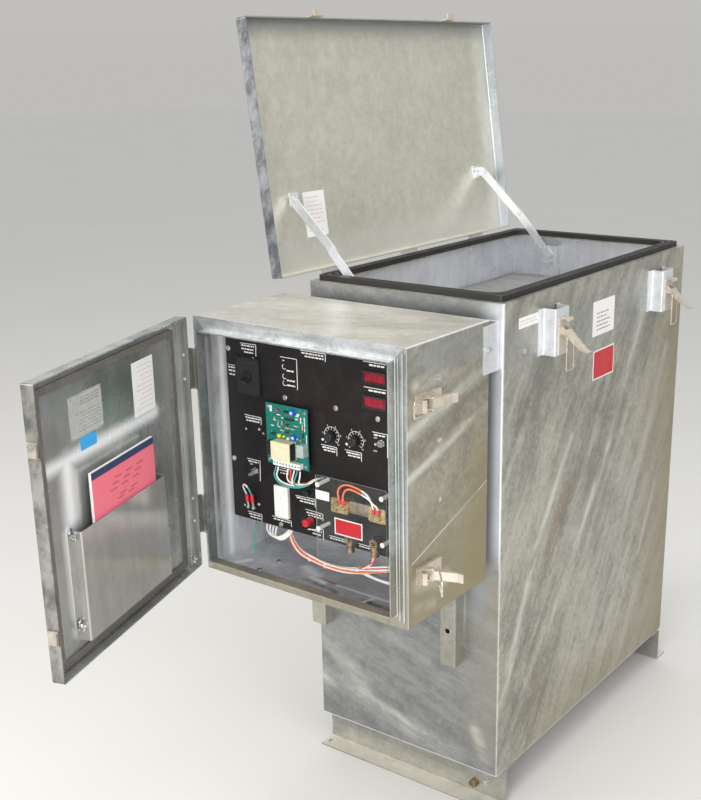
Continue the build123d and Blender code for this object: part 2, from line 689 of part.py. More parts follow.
# Tank end of the stay: a hat bracket on the end wall with the pivot bolt in its face
hat_low = stay_t[1] - STAY_HAT_HEIGHT / 2
hat_x = (stay_t[0] - STAY_HAT_WIDTH / 2, stay_t[0] + STAY_HAT_WIDTH / 2)
stay_hat = bent(
    ((hat_x[0], TANK_WALL), (hat_x[0], hat_face), (hat_x[1], hat_face), (hat_x[1], TANK_WALL)),
    -STAY_HAT_SHEET,
    STAY_HAT_HEIGHT,
    Plane(origin=(0, 0, hat_low), x_dir=(1, 0, 0), z_dir=(0, 0, 1)),
    STAY_HAT_SHEET + 0.5,
)
stay_hat += peg((stay_t[0], hat_face, stay_t[1]), (0, 1, 0), STAY_PIN_R, STAY_GAP + STAY_SHEET + 0.2)
stay_hat += peg((stay_t[0], hat_face - STAY_HAT_SHEET, stay_t[1]), (0, -1, 0), STAY_HEAD_R, STAY_HEAD_HEIGHT)

# Lid end of the stay: an angle on the lid's inner face with the pivot pin in its lug
foot_x = (stay_q[0] - STAY_FOOT_WIDTH / 2, stay_q[0] + STAY_FOOT_WIDTH / 2)
lid_lug = span(foot_x, (lug_y[0], lug_y[0] + STAY_FOOT_LENGTH), (SKIN_INNER - STAY_LUG_SHEET, SKIN_INNER))
lid_lug += span((stay_q[0] - STAY_LUG_R, stay_q[0] + STAY_LUG_R), lug_y, (stay_q[1], SKIN_INNER))
lid_lug += peg((stay_q[0], lug_y[0], stay_q[1]), (0, 1, 0), STAY_LUG_R, STAY_LUG_SHEET)
pin_from = lower_y[1] - STAY_HEAD_HEIGHT + GAP
lid_lug += peg((stay_q[0], pin_from, stay_q[1]), (0, 1, 0), STAY_PIN_R, lug_y[0] - pin_from)
lid_lug += peg((stay_q[0], pin_from, stay_q[1]), (0, 1, 0), STAY_HEAD_R, upper_y[0] - GAP - pin_from)
lid_lug = lid_lug.rotate(LID_AXIS, LID_OPEN)

middle_plane = Plane(origin=(0, TANK_DEPTH / 2, 0), z_dir=(0, 1, 0))
save([stay_hat, mirror(stay_hat, about=middle_plane)], "stay_tank_brackets")
save([lid_lug, mirror(lid_lug, about=middle_plane)], "stay_lid_brackets")
save(lower_arm, "stay_lower_front")
save(upper_arm, "stay_upper_front")
save(mirror(lower_arm, about=middle_plane), "stay_lower_rear")
save(mirror(upper_arm, about=middle_plane), "stay_upper_rear")


# Draw latches: an over-centre handle pulls a wire bail against a keeper
def latch_base(u_range):
    """Base plate with a curled guard lip and two ears, and the rivets that carry the handle."""
    guard = (
        (u_range[0], 0),
        (u_range[1] - 4, 0),
        (u_range[1] - 2, LATCH_LIP_HEIGHT - 5),
        (u_range[1] - 8, LATCH_LIP_HEIGHT),
    )
    across = Plane(origin=(0, 0, -LATCH_BASE_HALF), z_dir=(0, 0, 1))
    base = bent(guard, LATCH_BASE_SHEET, 2 * LATCH_BASE_HALF, across)
    for side in (-1, 1):
        w = sorted((side * LATCH_LIP_HALF, side * (LATCH_BASE_HALF + 1)))
        base -= span((u_range[1] - 14, u_range[1] + 4), (LATCH_BASE_SHEET, LATCH_LIP_HEIGHT + 6), w)
    ear_in = LATCH_HANDLE_HALF + 0.3
    ear_out = ear_in + LATCH_SHEET + 0.4
    ear = make_face(
        Polyline((-5, 0), (-LATCH_EAR_R, LATCH_PIVOT_N), (LATCH_EAR_R, LATCH_PIVOT_N), (15, 0), close=True)
    )
    ear += Pos(0, LATCH_PIVOT_N) * Circle(LATCH_EAR_R)
    for side in (-1, 1):
        low = ear_in if side > 0 else -ear_out
        base += extrude(Plane(origin=(0, 0, low), z_dir=(0, 0, 1)) * ear, ear_out - ear_in)
        rivet_from = (0, LATCH_PIVOT_N, side * (LATCH_HANDLE_HALF - LATCH_SHEET - 0.6))
        rivet_length = ear_out + 1.3 - (LATCH_HANDLE_HALF - LATCH_SHEET - 0.6)
        base += peg(rivet_from, (0, 0, side), LATCH_RIVET_R, rivet_length)
        base += peg((0, LATCH_PIVOT_N, side * ear_out), (0, 0, side), LATCH_HEAD_R, 1.3)
    return base


def latch_handle():
    """Pressed channel handle, lying closed along -u, with a turned-up finger end."""
    tip = -LATCH_HANDLE_LENGTH
    n = LATCH_PIVOT_N
    half = LATCH_HANDLE_HALF
    side_view = (
        (4, n + 5), (tip + 12, n + 1), (tip, n + 4), (tip, n + 1.6),
        (tip + 14, n - 5), (-14, n - 7.5), (-6, n - 7.5), (4, n - 4.5),
    )
    hollow = (
        (2, n + 5 - LATCH_SHEET), (tip + 12.5, n + 1 - LATCH_SHEET), (tip - 1, n + 4 - LATCH_SHEET),
        (tip - 1, n - 12), (2, n - 12),
    )
    outer = Plane(origin=(0, 0, -half), z_dir=(0, 0, 1))
    inner = Plane(origin=(0, 0, LATCH_SHEET - half), z_dir=(0, 0, 1))
    handle = outline_plate(side_view, outer, 2 * half)
    handle -= outline_plate(hollow, inner, 2 * (half - LATCH_SHEET))
    handle -= peg((0, n, -half - 1), (0, 0, 1), LATCH_RIVET_R + RUN, 2 * half + 2)
    link = (LATCH_LINK[0], n + LATCH_LINK[1])
    handle -= peg((link[0], link[1], -half - 1), (0, 0, 1), LATCH_WIRE_R + RUN, 2 * half + 2)
    return handle


def latch_bail():
    """Wire bail in its closed place, its two ends turned in to the handle's sides."""
    link = (LATCH_LINK[0], LATCH_PIVOT_N + LATCH_LINK[1])
    ends = LATCH_HANDLE_HALF - LATCH_SHEET - 0.8
    path = FilletPolyline(
        (*link, -ends), (*link, -LATCH_LEG_W), (*LATCH_BAR, -LATCH_LEG_W),
        (*LATCH_BAR, LATCH_LEG_W), (*link, LATCH_LEG_W), (*link, ends),
        radius=[2.2, LATCH_WIRE_BEND, LATCH_WIRE_BEND, 2.2],
    )
    section = Plane(origin=(*link, -ends), z_dir=(0, 0, -1)) * Circle(LATCH_WIRE_R)
    return sweep(section, path=path)


def keeper(face_n, rise, half):
    """Keeper: a plate on the moving edge with a ledge turned out for the bail's bar."""
    ledge_u = LATCH_BAR[0] - LATCH_WIRE_R - KEEPER_PLAY - KEEPER_SHEET
    line = ((ledge_u, KEEPER_LEDGE_N), (ledge_u, face_n), (rise, face_n))
    plate = bent(line, KEEPER_SHEET, 2 * half, Plane(origin=(0, 0, -half), z_dir=(0, 0, 1)))
    for side in (-1, 1):
        w = sorted((side * KEEPER_LEDGE_HALF, side * (half + 1)))
        plate -= span(
            (ledge_u - 1, ledge_u + 2 * KEEPER_SHEET + 2), (face_n + KEEPER_SHEET + 0.4, KEEPER_LEDGE_N + 1), w
        )
    return plate


BAIL_SHUT = heading((LATCH_LINK[0], LATCH_PIVOT_N + LATCH_LINK[1]), LATCH_BAR)


def placed_latch(plane, handle_angle, bail_angle):
    """Base, handle and bail on a mounting face, the handle and bail at their rest angles."""
    pivot = Axis((0, LATCH_PIVOT_N, 0), (0, 0, -1))
    handle = latch_handle().rotate(pivot, handle_angle)
    link_shut = Vector(LATCH_LINK[0], LATCH_LINK[1], 0)
    link = link_shut.rotate(Axis.Z, -handle_angle) + Vector(0, LATCH_PIVOT_N, 0)
    shut = link_shut + Vector(0, LATCH_PIVOT_N, 0)
    bail = latch_bail().moved(Location((-shut.X, -shut.Y, 0)))
    bail = bail.rotate(Axis.Z, bail_angle - BAIL_SHUT).moved(Location((link.X, link.Y, 0)))
    there = Location(plane)
    link_at = plane.from_local_coords(link)
    pivot_at = plane.from_local_coords(Vector(0, LATCH_PIVOT_N, 0))
    return there * latch_base(LATCH_BASE_U), there * handle, there * bail, pivot_at, link_at


latch_bases, hats, lid_keepers = [], [], []
JOINT_POINTS = {}
hat_out = HALF + HAT_OUT
hat_z = TANK_TOP - TANK_LATCH_DROP - HAT_HEIGHT / 2
for name, y in zip(("front", "rear"), TANK_LATCH_Y):
    face = (y - HAT_FACE / 2, y + HAT_FACE / 2)
    hat_line = (
        (HALF + HAT_SHEET, face[0] - HAT_FLANGE), (HALF + HAT_SHEET, face[0]), (hat_out, face[0]),
        (hat_out, face[1]), (HALF + HAT_SHEET, face[1]), (HALF + HAT_SHEET, face[1] + HAT_FLANGE),
    )
    hats.append(bent(hat_line, HAT_SHEET, HAT_HEIGHT, Plane(origin=(0, 0, hat_z), z_dir=(0, 0, 1))))
    plane = Plane(origin=(hat_out, y, TANK_TOP - TANK_LATCH_DROP), x_dir=(0, 0, 1), z_dir=(0, 1, 0))
    base, handle, bail, pivot_at, link_at = placed_latch(plane, TANK_LATCH_REST, TANK_BAIL_REST)
    latch_bases.append(base)
    save(handle, f"lid_latch_handle_{name}")
    save(bail, f"lid_latch_bail_{name}")
    JOINT_POINTS[f"lid_latch_handle_{name}"] = pivot_at
    JOINT_POINTS[f"lid_latch_bail_{name}"] = link_at
    catch = Location(plane) * keeper(LID_SIDE_OVERHANG - HAT_OUT, TANK_KEEPER_RISE, TANK_KEEPER_HALF)
    lid_keepers.append(catch.rotate(LID_AXIS, LID_OPEN))
save(hats, "latch_hats")
save(lid_keepers, "lid_keepers")

DOOR_AXIS = Axis((DOOR_HINGE_X, DOOR_HINGE_Y, 0), (0, 0, -1))
door_keepers = []
pad_out = CAB_RIGHT + CAB_LATCH_PAD
pads = []
for name, drop, rest in zip(("upper", "lower"), CAB_LATCH_DROP, CAB_LATCH_REST):
    z = TANK_TOP - drop
    pads.append(
        span(
            (CAB_RIGHT, pad_out),
            (CAB_LATCH_Y - LATCH_BASE_U[1] + 6, CAB_LATCH_Y - LATCH_BASE_U[0]),
            (z - LATCH_BASE_HALF, z + LATCH_BASE_HALF),
        )
    )
    plane = Plane(origin=(pad_out, CAB_LATCH_Y, z), x_dir=(0, -1, 0), z_dir=(0, 0, 1))
    base, handle, bail, pivot_at, link_at = placed_latch(plane, rest, BAIL_SHUT + CAB_BAIL_RATIO * rest)
    latch_bases.append(base)
    save(handle, f"door_latch_handle_{name}")
    save(bail, f"door_latch_bail_{name}")
    JOINT_POINTS[f"door_latch_handle_{name}"] = pivot_at
    JOINT_POINTS[f"door_latch_bail_{name}"] = link_at
    catch = Location(plane) * keeper(DOOR_RIGHT - pad_out, CAB_KEEPER_RISE, CAB_KEEPER_HALF)
    door_keepers.append(catch.rotate(DOOR_AXIS, DOOR_OPEN))
save(latch_bases + pads, "latch_bases")
save(door_keepers, "door_keepers")

# Cabinet: a folded box with a front flange and a rain lip round its opening
cab_x = (CAB_LEFT, CAB_RIGHT)
cab_z = (CAB_BOTTOM, CAB_TOP)
cabinet = tray(cab_x, (CAB_FRONT, CAB_BACK), cab_z, SHEET, CAB_BEND, Axis.Y, -1)
flange = rounded(cab_x, (CAB_FRONT, CAB_FRONT + SHEET), cab_z, CAB_BEND, Axis.Y)
cabinet += flange
lip_x = (CAB_LEFT + CAB_FLANGE, CAB_RIGHT - CAB_FLANGE)
lip_z = (CAB_BOTTOM + CAB_FLANGE, CAB_TOP - CAB_FLANGE)
cabinet += rounded(lip_x, (LIP_FRONT, CAB_FRONT), lip_z, RAIN_LIP_CORNER, Axis.Y)
cabinet -= rounded(
    (lip_x[0] + SHEET, lip_x[1] - SHEET),
    (LIP_FRONT, CAB_FRONT + SHEET),
    (lip_z[0] + SHEET, lip_z[1] - SHEET),
    RAIN_LIP_CORNER - SHEET,
    Axis.Y,
)
cabinet -= peg((0, CAB_BACK + 1, NIPPLE_Z), (0, -1, 0), NIPPLE_R + BOLT_HOLE_PLAY, SHEET + 2)

# Bolts: three through each side into the panel angles, four in the floor, one in the bracket
bolt_y = PANEL_BACK + PANEL_ANGLE_LEG / 2
SIDE_BOLT_DROPS = (101.0, 220.0, 338.0)
FLOOR_BOLTS = ((-175.0, -215.0), (-179.0, -272.0), (21.0, -284.0), (108.0, -270.0))
bolts = []
for drop in SIDE_BOLT_DROPS:
    start = (CAB_RIGHT, bolt_y, TANK_TOP - drop)
    cabinet -= bolt_hole(start, (1, 0, 0), 2 * SHEET)
    bolts.append(bolt(start, (1, 0, 0), SHEET + ANGLE_SHEET + 4))
for x, y in FLOOR_BOLTS:
    start = (x, y, CAB_BOTTOM + SHEET)
    cabinet -= bolt_hole(start, (0, 0, 1), 2 * SHEET)
    bolts.append(bolt(start, (0, 0, 1), SHEET + 4))
bracket_bolt = (CAB_RIGHT + ANGLE_SHEET, CAB_BACK - 9, (SIDE_ANGLE_Z[0] + SIDE_ANGLE_Z[1]) / 2)
cabinet -= bolt_hole(bracket_bolt, (1, 0, 0), 4 * SHEET)
bolts.append(bolt(bracket_bolt, (1, 0, 0), SHEET + ANGLE_SHEET + 4))
bolts.append(bolt(TANK_BOLT, (1, 0, 0), TANK_WALL + 4))
bolts.append(bolt((EARTH_X[1], FOOT_SET_IN, EARTH_Z[1]), (0, -1, 0), FOOT_SHEET + 5))
earth = (EARTH_X[0], FOOT_SET_IN, EARTH_Z[0])
bolts.append(hexagon(earth, (0, -1, 0), EARTH_FLATS, EARTH_LENGTH) + peg(earth, (0, 1, 0), BOLT_R, 8))
save(cabinet, "cabinet_box")

# Cabinet supports: two channel rails on the tank front and an angle at the right side
mounts = []
rail_plane = Plane(origin=(0, 0, RAIL_BOTTOM), z_dir=(0, 0, 1))
for x in RAIL_X:
    low, high = x - RAIL_WIDTH / 2, x + RAIL_WIDTH / 2
    rail = bent(
        ((low, 0), (low, CAB_BACK), (high, CAB_BACK), (high, 0)), RAIL_SHEET, RAIL_TOP - RAIL_BOTTOM, rail_plane
    )
    rail -= peg((x, CAB_BACK - 1, RAIL_HOLE_Z), (0, 1, 0), RAIL_HOLE_R, RAIL_SHEET + 2)
    mounts.append(rail)
side_out = CAB_RIGHT + ANGLE_SHEET
side_angle = bent(
    ((side_out, CAB_BACK - SIDE_ANGLE_LEG), (side_out, 0), (side_out - SIDE_ANGLE_RETURN, 0)),
    ANGLE_SHEET,
    SIDE_ANGLE_Z[1] - SIDE_ANGLE_Z[0],
    Plane(origin=(0, 0, SIDE_ANGLE_Z[0]), z_dir=(0, 0, 1)),
)
side_angle -= bolt_hole(bracket_bolt, (1, 0, 0), 2 * ANGLE_SHEET)
mounts.append(side_angle)
save(mounts, "cabinet_mounts")

# Cable passage: a nipple through both walls with a locknut on each end
nipple_from = CAB_BACK - SHEET - NIPPLE_STICKOUT
nipple_to = TANK_WALL + NIPPLE_STICKOUT
nipple = peg((0, nipple_from, NIPPLE_Z), (0, 1, 0), NIPPLE_R, nipple_to - nipple_from)
nipple -= peg((0, nipple_from - 1, NIPPLE_Z), (0, 1, 0), NIPPLE_BORE, nipple_to - nipple_from + 2)
locknuts = []
for y, direction in ((CAB_BACK - SHEET, -1), (TANK_WALL, 1)):
    nut = peg((0, y, NIPPLE_Z), (0, direction, 0), LOCKNUT_R, LOCKNUT_THICK)
    locknuts.append(nut - peg((0, y, NIPPLE_Z), (0, direction, 0), NIPPLE_R + RUN / 2, LOCKNUT_THICK))
save([nipple] + locknuts, "cable_nipple")

# Door: a folded tray, laid out closed and turned about its hinge line with all that it carries
door = tray(
    (DOOR_LEFT, DOOR_RIGHT), (DOOR_SKIN, DOOR_LIP), (DOOR_BOTTOM, DOOR_TOP), SHEET, DOOR_BEND, Axis.Y, 0
)
save(door.rotate(DOOR_AXIS, DOOR_OPEN), "door")
seal_in = CAB_FLANGE + SHEET / 2 - DOOR_SEAL_WIDTH / 2
door_gasket = ring(
    (CAB_LEFT + seal_in, CAB_RIGHT - seal_in),
    (DOOR_SKIN + SHEET, LIP_FRONT - DOOR_SEAL_GAP),
    (CAB_BOTTOM + seal_in, CAB_TOP - seal_in),
    DOOR_SEAL_WIDTH,
    10,
    4,
    Axis.Y,
)
save(door_gasket.rotate(DOOR_AXIS, DOOR_OPEN), "door_gasket")

# Door hinges: the fixed leaf steps out from the cabinet wall, clear of the door's folded edge
wall_at = CAB_LEFT - DOOR_HINGE_X
step_at = CAB_FRONT - DOOR_HINGE_Y + 3.5
leg_at = DOOR_LEAF_SHEET - DOOR_BARREL_R
door_fixed = ((leg_at, 0), (leg_at, step_at), (wall_at, step_at), (wall_at, step_at + DOOR_LEAF_REACH))
edge_at = DOOR_LEFT - DOOR_HINGE_X
neck = DOOR_LEAF_SHEET / 2
door_moving = ((0, -neck), (edge_at, -neck), (edge_at, DOOR_LIP - DOOR_HINGE_Y - 1.4))
frames, leaves = [], []
for z in DOOR_HINGE_Z:
    plane = Plane(origin=(DOOR_HINGE_X, DOOR_HINGE_Y, z), x_dir=(1, 0, 0), z_dir=(0, 0, 1))
    fixed_leaf, moving_leaf, pin = hinge(
        plane, DOOR_HINGE_LENGTH, door_fixed, door_moving, (DOOR_LEAF_SHEET, DOOR_LEAF_SHEET),
        DOOR_BARREL_R, DOOR_PIN_R,
    )
    frames.append(fixed_leaf)
    leaves.append(moving_leaf.rotate(DOOR_AXIS, DOOR_OPEN))
    pins.append(pin)
save(frames, "door_hinge_frames")
save(leaves, "door_hinge_leaves")
save(pins, "hinge_pins")

# Document pocket: a folded pan welded by its side tabs to the door skin, open at the top
door_inner = DOOR_SKIN + SHEET
pocket_x = (DOOR_LEFT + POCKET_FROM_HINGE[0], DOOR_LEFT + POCKET_FROM_HINGE[1])
pocket_z = (DOOR_BOTTOM + POCKET_FROM_BOTTOM[0], DOOR_BOTTOM + POCKET_FROM_BOTTOM[1])
pocket_front = door_inner + POCKET_DEPTH
pocket_line = (
    (pocket_x[1] + POCKET_TAB, door_inner), (pocket_x[1], door_inner), (pocket_x[1], pocket_front),
    (pocket_x[0], pocket_front), (pocket_x[0], door_inner), (pocket_x[0] - POCKET_TAB, door_inner),
)
pocket = bent(
    pocket_line, -POCKET_SHEET, POCKET_FROM_BOTTOM[1] - POCKET_FROM_BOTTOM[0],
    Plane(origin=(0, 0, pocket_z[0]), z_dir=(0, 0, 1)), POCKET_SHEET + 0.5,
)
pocket += span(pocket_x, (door_inner, pocket_front), (pocket_z[0], pocket_z[0] + POCKET_SHEET))
save(pocket.rotate(DOOR_AXIS, DOOR_OPEN), "document_pocket")
manual = rounded(
    (DOOR_LEFT + MANUAL_FROM_HINGE[0], DOOR_LEFT + MANUAL_FROM_HINGE[1]),
    (pocket_front - POCKET_SHEET - MANUAL_THICK - 2, pocket_front - POCKET_SHEET - 2),
    (pocket_z[0] + POCKET_SHEET + 0.3, DOOR_BOTTOM + MANUAL_FROM_BOTTOM[1]),
    2,
    Axis.Z,
)
save(manual.rotate(DOOR_AXIS, DOOR_OPEN), "manual")

# Instrument panel on two angles bolted to the cabinet sides
panel = span(PANEL_X, (PANEL_FRONT, PANEL_BACK), PANEL_Z)
angles = []
angle_z = (PANEL_BOTTOM + 30, PANEL_Z[1] - 10)
angle_plane = Plane(origin=(0, 0, angle_z[0]), z_dir=(0, 0, 1))
right = CAB_RIGHT - SHEET
left = CAB_LEFT + SHEET
right_angle = bent(
    ((right, PANEL_BACK + PANEL_ANGLE_LEG), (right, PANEL_BACK), (right - PANEL_ANGLE_LEG, PANEL_BACK)),
    -ANGLE_SHEET, angle_z[1] - angle_z[0], angle_plane,
)
for drop in SIDE_BOLT_DROPS:
    right_angle -= bolt_hole((right, bolt_y, TANK_TOP - drop), (1, 0, 0), 2 * ANGLE_SHEET)
left_angle = bent(
    ((left + PANEL_ANGLE_LEG, PANEL_BACK), (left, PANEL_BACK), (left, PANEL_BACK + PANEL_ANGLE_LEG)),
    -ANGLE_SHEET, angle_z[1] - angle_z[0], angle_plane,
)
save([right_angle, left_angle], "panel_angles")

for x, z in PANEL_SCREWS:
    screw = peg((x, PANEL_FRONT, z), (0, -1, 0), SCREW_HEAD_R, SCREW_HEAD)
    bolts.append(fillet(screw.faces().sort_by(Axis.Y)[0].edges(), SCREW_HEAD / 2))
save(bolts, "bolts_and_screws")


def cut_panel(x, z, radius):
    """Round hole through the panel."""
    return peg((x, PANEL_FRONT - 1, z), (0, 1, 0), radius, PANEL_SHEET + 2)


# Breaker: body through the panel, with a round hub and lever in its face
bx, bz = BREAKER_AT
breaker_face = PANEL_FRONT - BREAKER_RAISE
neck_x = (bx - BREAKER_SIZE[0] / 2 + 8, bx + BREAKER_SIZE[0] / 2 - 8)
neck_z = (bz - BREAKER_SIZE[1] / 2 + 10, bz + BREAKER_SIZE[1] / 2 - 10)
panel -= span(
    (neck_x[0] - GAP, neck_x[1] + GAP), (PANEL_FRONT - 1, PANEL_BACK + 1), (neck_z[0] - GAP, neck_z[1] + GAP)
)
breaker = rounded(
    (bx - BREAKER_SIZE[0] / 2, bx + BREAKER_SIZE[0] / 2),
    (breaker_face, PANEL_FRONT),
    (bz - BREAKER_SIZE[1] / 2, bz + BREAKER_SIZE[1] / 2),
    3,
    Axis.Y,
)
breaker += span(neck_x, (PANEL_FRONT, PANEL_BACK + BREAKER_BODY_DEPTH), neck_z)
breaker_pivot = (bx, breaker_face + BREAKER_HUB_R - 5, bz)
hub_half = BREAKER_HUB_WIDTH / 2
breaker -= peg(
    (bx - hub_half - GAP, breaker_pivot[1], bz), (1, 0, 0), BREAKER_HUB_R + GAP, BREAKER_HUB_WIDTH + 2 * GAP
)
breaker += peg(
    (bx - hub_half - GAP, breaker_pivot[1], bz), (1, 0, 0), BREAKER_PIN_R, BREAKER_HUB_WIDTH + 2 * GAP
)
lever = peg((bx - hub_half, breaker_pivot[1], bz), (1, 0, 0), BREAKER_HUB_R, BREAKER_HUB_WIDTH)
lever += rounded(
    (bx - hub_half, bx + hub_half),
    (breaker_pivot[1] - BREAKER_HUB_R - BREAKER_LEVER, breaker_pivot[1]),
    (bz - 3.5, bz + 3.5),
    2,
    Axis.X,
)
lever -= peg((bx - hub_half - 1, breaker_pivot[1], bz), (1, 0, 0), BREAKER_PIN_R + RUN, BREAKER_HUB_WIDTH + 2)
save(lever.rotate(Axis(breaker_pivot, (1, 0, 0)), BREAKER_SWING), "breaker_handle")

# Meters: two cases with sunk windows, clipped through the panel
modules = [breaker]
for x, z in METER_AT:
    half_x, half_z = METER_SIZE[0] / 2, METER_SIZE[1] / 2
    meter = rounded(
        (x - half_x, x + half_x), (PANEL_FRONT - METER_RAISE, PANEL_FRONT), (z - half_z, z + half_z), 2, Axis.Y
    )
    case_x = (x - METER_WINDOW[0] / 2, x + METER_WINDOW[0] / 2)
    case_z = (z - METER_WINDOW[1] / 2, z + METER_WINDOW[1] / 2)
    meter += span(case_x, (PANEL_FRONT, PANEL_BACK + METER_DEPTH), case_z)
    meter -= span(case_x, (PANEL_FRONT - METER_RAISE, PANEL_FRONT - 1), case_z)
    panel -= span(
        (case_x[0] - GAP, case_x[1] + GAP), (PANEL_FRONT - 1, PANEL_BACK + 1), (case_z[0] - GAP, case_z[1] + GAP)
    )
    modules.append(meter)
save(modules, "panel_modules")

# Toggle switches: bushing, nut and rear body, with the lever's cross root held in the bore
controls = []
for name, (x, z) in zip(("left", "right"), TOGGLE_AT):
    panel -= cut_panel(x, z, TOGGLE_BUSH_R + GAP)
    switch = peg((x, PANEL_FRONT - TOGGLE_BUSH_OUT, z), (0, 1, 0), TOGGLE_BUSH_R, TOGGLE_BUSH_OUT + PANEL_SHEET)
    switch += hexagon((x, PANEL_FRONT, z), (0, -1, 0), TOGGLE_NUT, 3)
    switch += span((x - 7, x + 7), (PANEL_BACK, PANEL_BACK + 24), (z - 13, z + 13))
    pivot = (x, PANEL_FRONT - TOGGLE_BUSH_OUT + 4, z)
    switch -= peg((x, PANEL_FRONT - TOGGLE_BUSH_OUT, z), (0, 1, 0), TOGGLE_BORE_R, 4 + TOGGLE_ROOT_R + 0.3)
    controls.append(switch)
    toggle = peg((x - TOGGLE_ROOT_LENGTH / 2, pivot[1], z), (1, 0, 0), TOGGLE_ROOT_R, TOGGLE_ROOT_LENGTH)
    shaft = Cone(TOGGLE_LEVER_R, TOGGLE_LEVER_R * 1.7, TOGGLE_LEVER_LENGTH, align=(Align.CENTER,) * 2 + (Align.MIN,))
    toggle += Plane(origin=pivot, z_dir=(0, -1, 0)) * shaft
    tilt = TOGGLE_TILT if name == "left" else -TOGGLE_TILT
    save(toggle.rotate(Axis(pivot, (1, 0, 0)), tilt), f"toggle_{name}")
    JOINT_POINTS[f"toggle_{name}"] = Vector(*pivot)

# Adjusting dials: knob and shaft in the bushing of a rear body
for name, (x, z) in zip(("coarse", "fine"), DIAL_AT):
    bush_r = DIAL_SHAFT_R + 1.7
    panel -= cut_panel(x, z, bush_r + GAP)
    pot = peg((x, PANEL_FRONT - 2, z), (0, 1, 0), bush_r, PANEL_SHEET + 2)
    pot += peg((x, PANEL_BACK, z), (0, 1, 0), POT_R, 12)
    pot -= peg((x, PANEL_FRONT - 3, z), (0, 1, 0), DIAL_SHAFT_R + RUN, PANEL_SHEET + 8)
    controls.append(pot)
    knob_back = PANEL_FRONT - 2 - GAP
    knob = peg((x, knob_back, z), (0, -1, 0), DIAL_R, DIAL_HEIGHT)
    knob = fillet(knob.faces().sort_by(Axis.Y)[0].edges(), 1.5)
    knob -= span((x - 1, x + 1), (knob_back - DIAL_HEIGHT - 1, knob_back - DIAL_HEIGHT + 1), (z, z + DIAL_R + 1))
    knob += peg((x, knob_back, z), (0, 1, 0), DIAL_SHAFT_R, PANEL_SHEET + 3)
    save(knob, f"dial_{name}")
    JOINT_POINTS[f"dial_{name}"] = Vector(x, knob_back, z)

# Fuse holders: collar and rear body, with a cap that turns on its stem
for name, (x, z), cap_r, length in zip(("red", "black"), FUSE_AT, FUSE_CAP_R, FUSE_CAP_LENGTH):
    panel -= cut_panel(x, z, FUSE_STEM_R + 2 + GAP)
    holder = peg((x, PANEL_FRONT, z), (0, -1, 0), FUSE_COLLAR_R, 2.5)
    holder += peg((x, PANEL_FRONT, z), (0, 1, 0), FUSE_STEM_R + 2, FUSE_BODY_DEPTH)
    holder -= peg((x, PANEL_FRONT - 3, z), (0, 1, 0), FUSE_STEM_R + RUN, 17)
    controls.append(holder)
    cap_back = PANEL_FRONT - 2.5 - GAP
    cap = peg((x, cap_back, z), (0, -1, 0), cap_r, length)
    cap = chamfer(cap.faces().sort_by(Axis.Y)[0].edges(), 1.2)
    cap -= span((x - cap_r, x + cap_r), (cap_back - length - 1, cap_back - length + 1.5), (z - 0.8, z + 0.8))
    cap += peg((x, cap_back, z), (0, 1, 0), FUSE_STEM_R, 12)
    save(cap, f"fuse_cap_{name}")
    JOINT_POINTS[f"fuse_cap_{name}"] = Vector(x, cap_back, z)
save(controls, "control_bodies")

# Circuit board on four posts, with its transformer, relay, connector and trimmers
board_back = PANEL_FRONT - BOARD_OFF
board_front = board_back - BOARD_SHEET
board = span(BOARD_X, (board_front, board_back), BOARD_Z)
board_group = []
for x in (BOARD_X[0] + 7, BOARD_X[1] - 7):
    for z in (BOARD_Z[0] + 8, BOARD_Z[1] - 8):
        board += peg((x, board_back, z), (0, 1, 0), BOARD_POST_R, BOARD_OFF)
board_group.append(board)
for x, z, height in BOARD_BLOCKS:
    board_group.append(rounded(x, (board_front - height, board_front), z, 1.5, Axis.Y))
save(board_group, "circuit_board")

# Shunt: two brass blocks joined by two resistance blades
shunt = []
for x in SHUNT_X:
    block = span(x, (PANEL_FRONT - SHUNT_DEPTH, PANEL_FRONT), SHUNT_Z)
    shunt.append(chamfer(block.edges().filter_by(Axis.Y), 3))
for off in (5.0, 13.0):
    blade_y = (PANEL_FRONT - off - SHUNT_BLADE, PANEL_FRONT - off)
    shunt.append(span((SHUNT_X[0][1], SHUNT_X[1][0]), blade_y, (SHUNT_Z[0] + 4, SHUNT_Z[1] - 2)))
save(shunt, "shunt")

# Output terminals: stud, nut and barrel lug for each polarity
lugs = []
for x, z in LUG_AT:
    panel -= cut_panel(x, z, LUG_STUD_R + GAP)
    lug = peg((x, PANEL_BACK + 16, z), (0, -1, 0), LUG_STUD_R, 16 + PANEL_SHEET + 24)
    lug += hexagon((x, PANEL_FRONT - 9, z), (0, -1, 0), LUG_NUT, 9)
    lug += hexagon((x, PANEL_BACK, z), (0, 1, 0), LUG_NUT, 6)
    lug += span((x - LUG_TANG, x + LUG_TANG), (PANEL_FRONT - 9, PANEL_FRONT), (z - 12, z + 9))
    barrel_top = z - LUG_STUD_R - 1.5
    barrel_y = PANEL_FRONT - LUG_BARREL_R - 3
    lug += peg((x, barrel_y, barrel_top), (0, 0, -1), LUG_BARREL_R, LUG_BARREL_LENGTH)
    lug -= peg((x, barrel_y, barrel_top - LUG_BARREL_LENGTH - 1), (0, 0, 1), LUG_BARREL_R - 3, 13)
    lugs.append(lug)
save(lugs, "output_terminals")

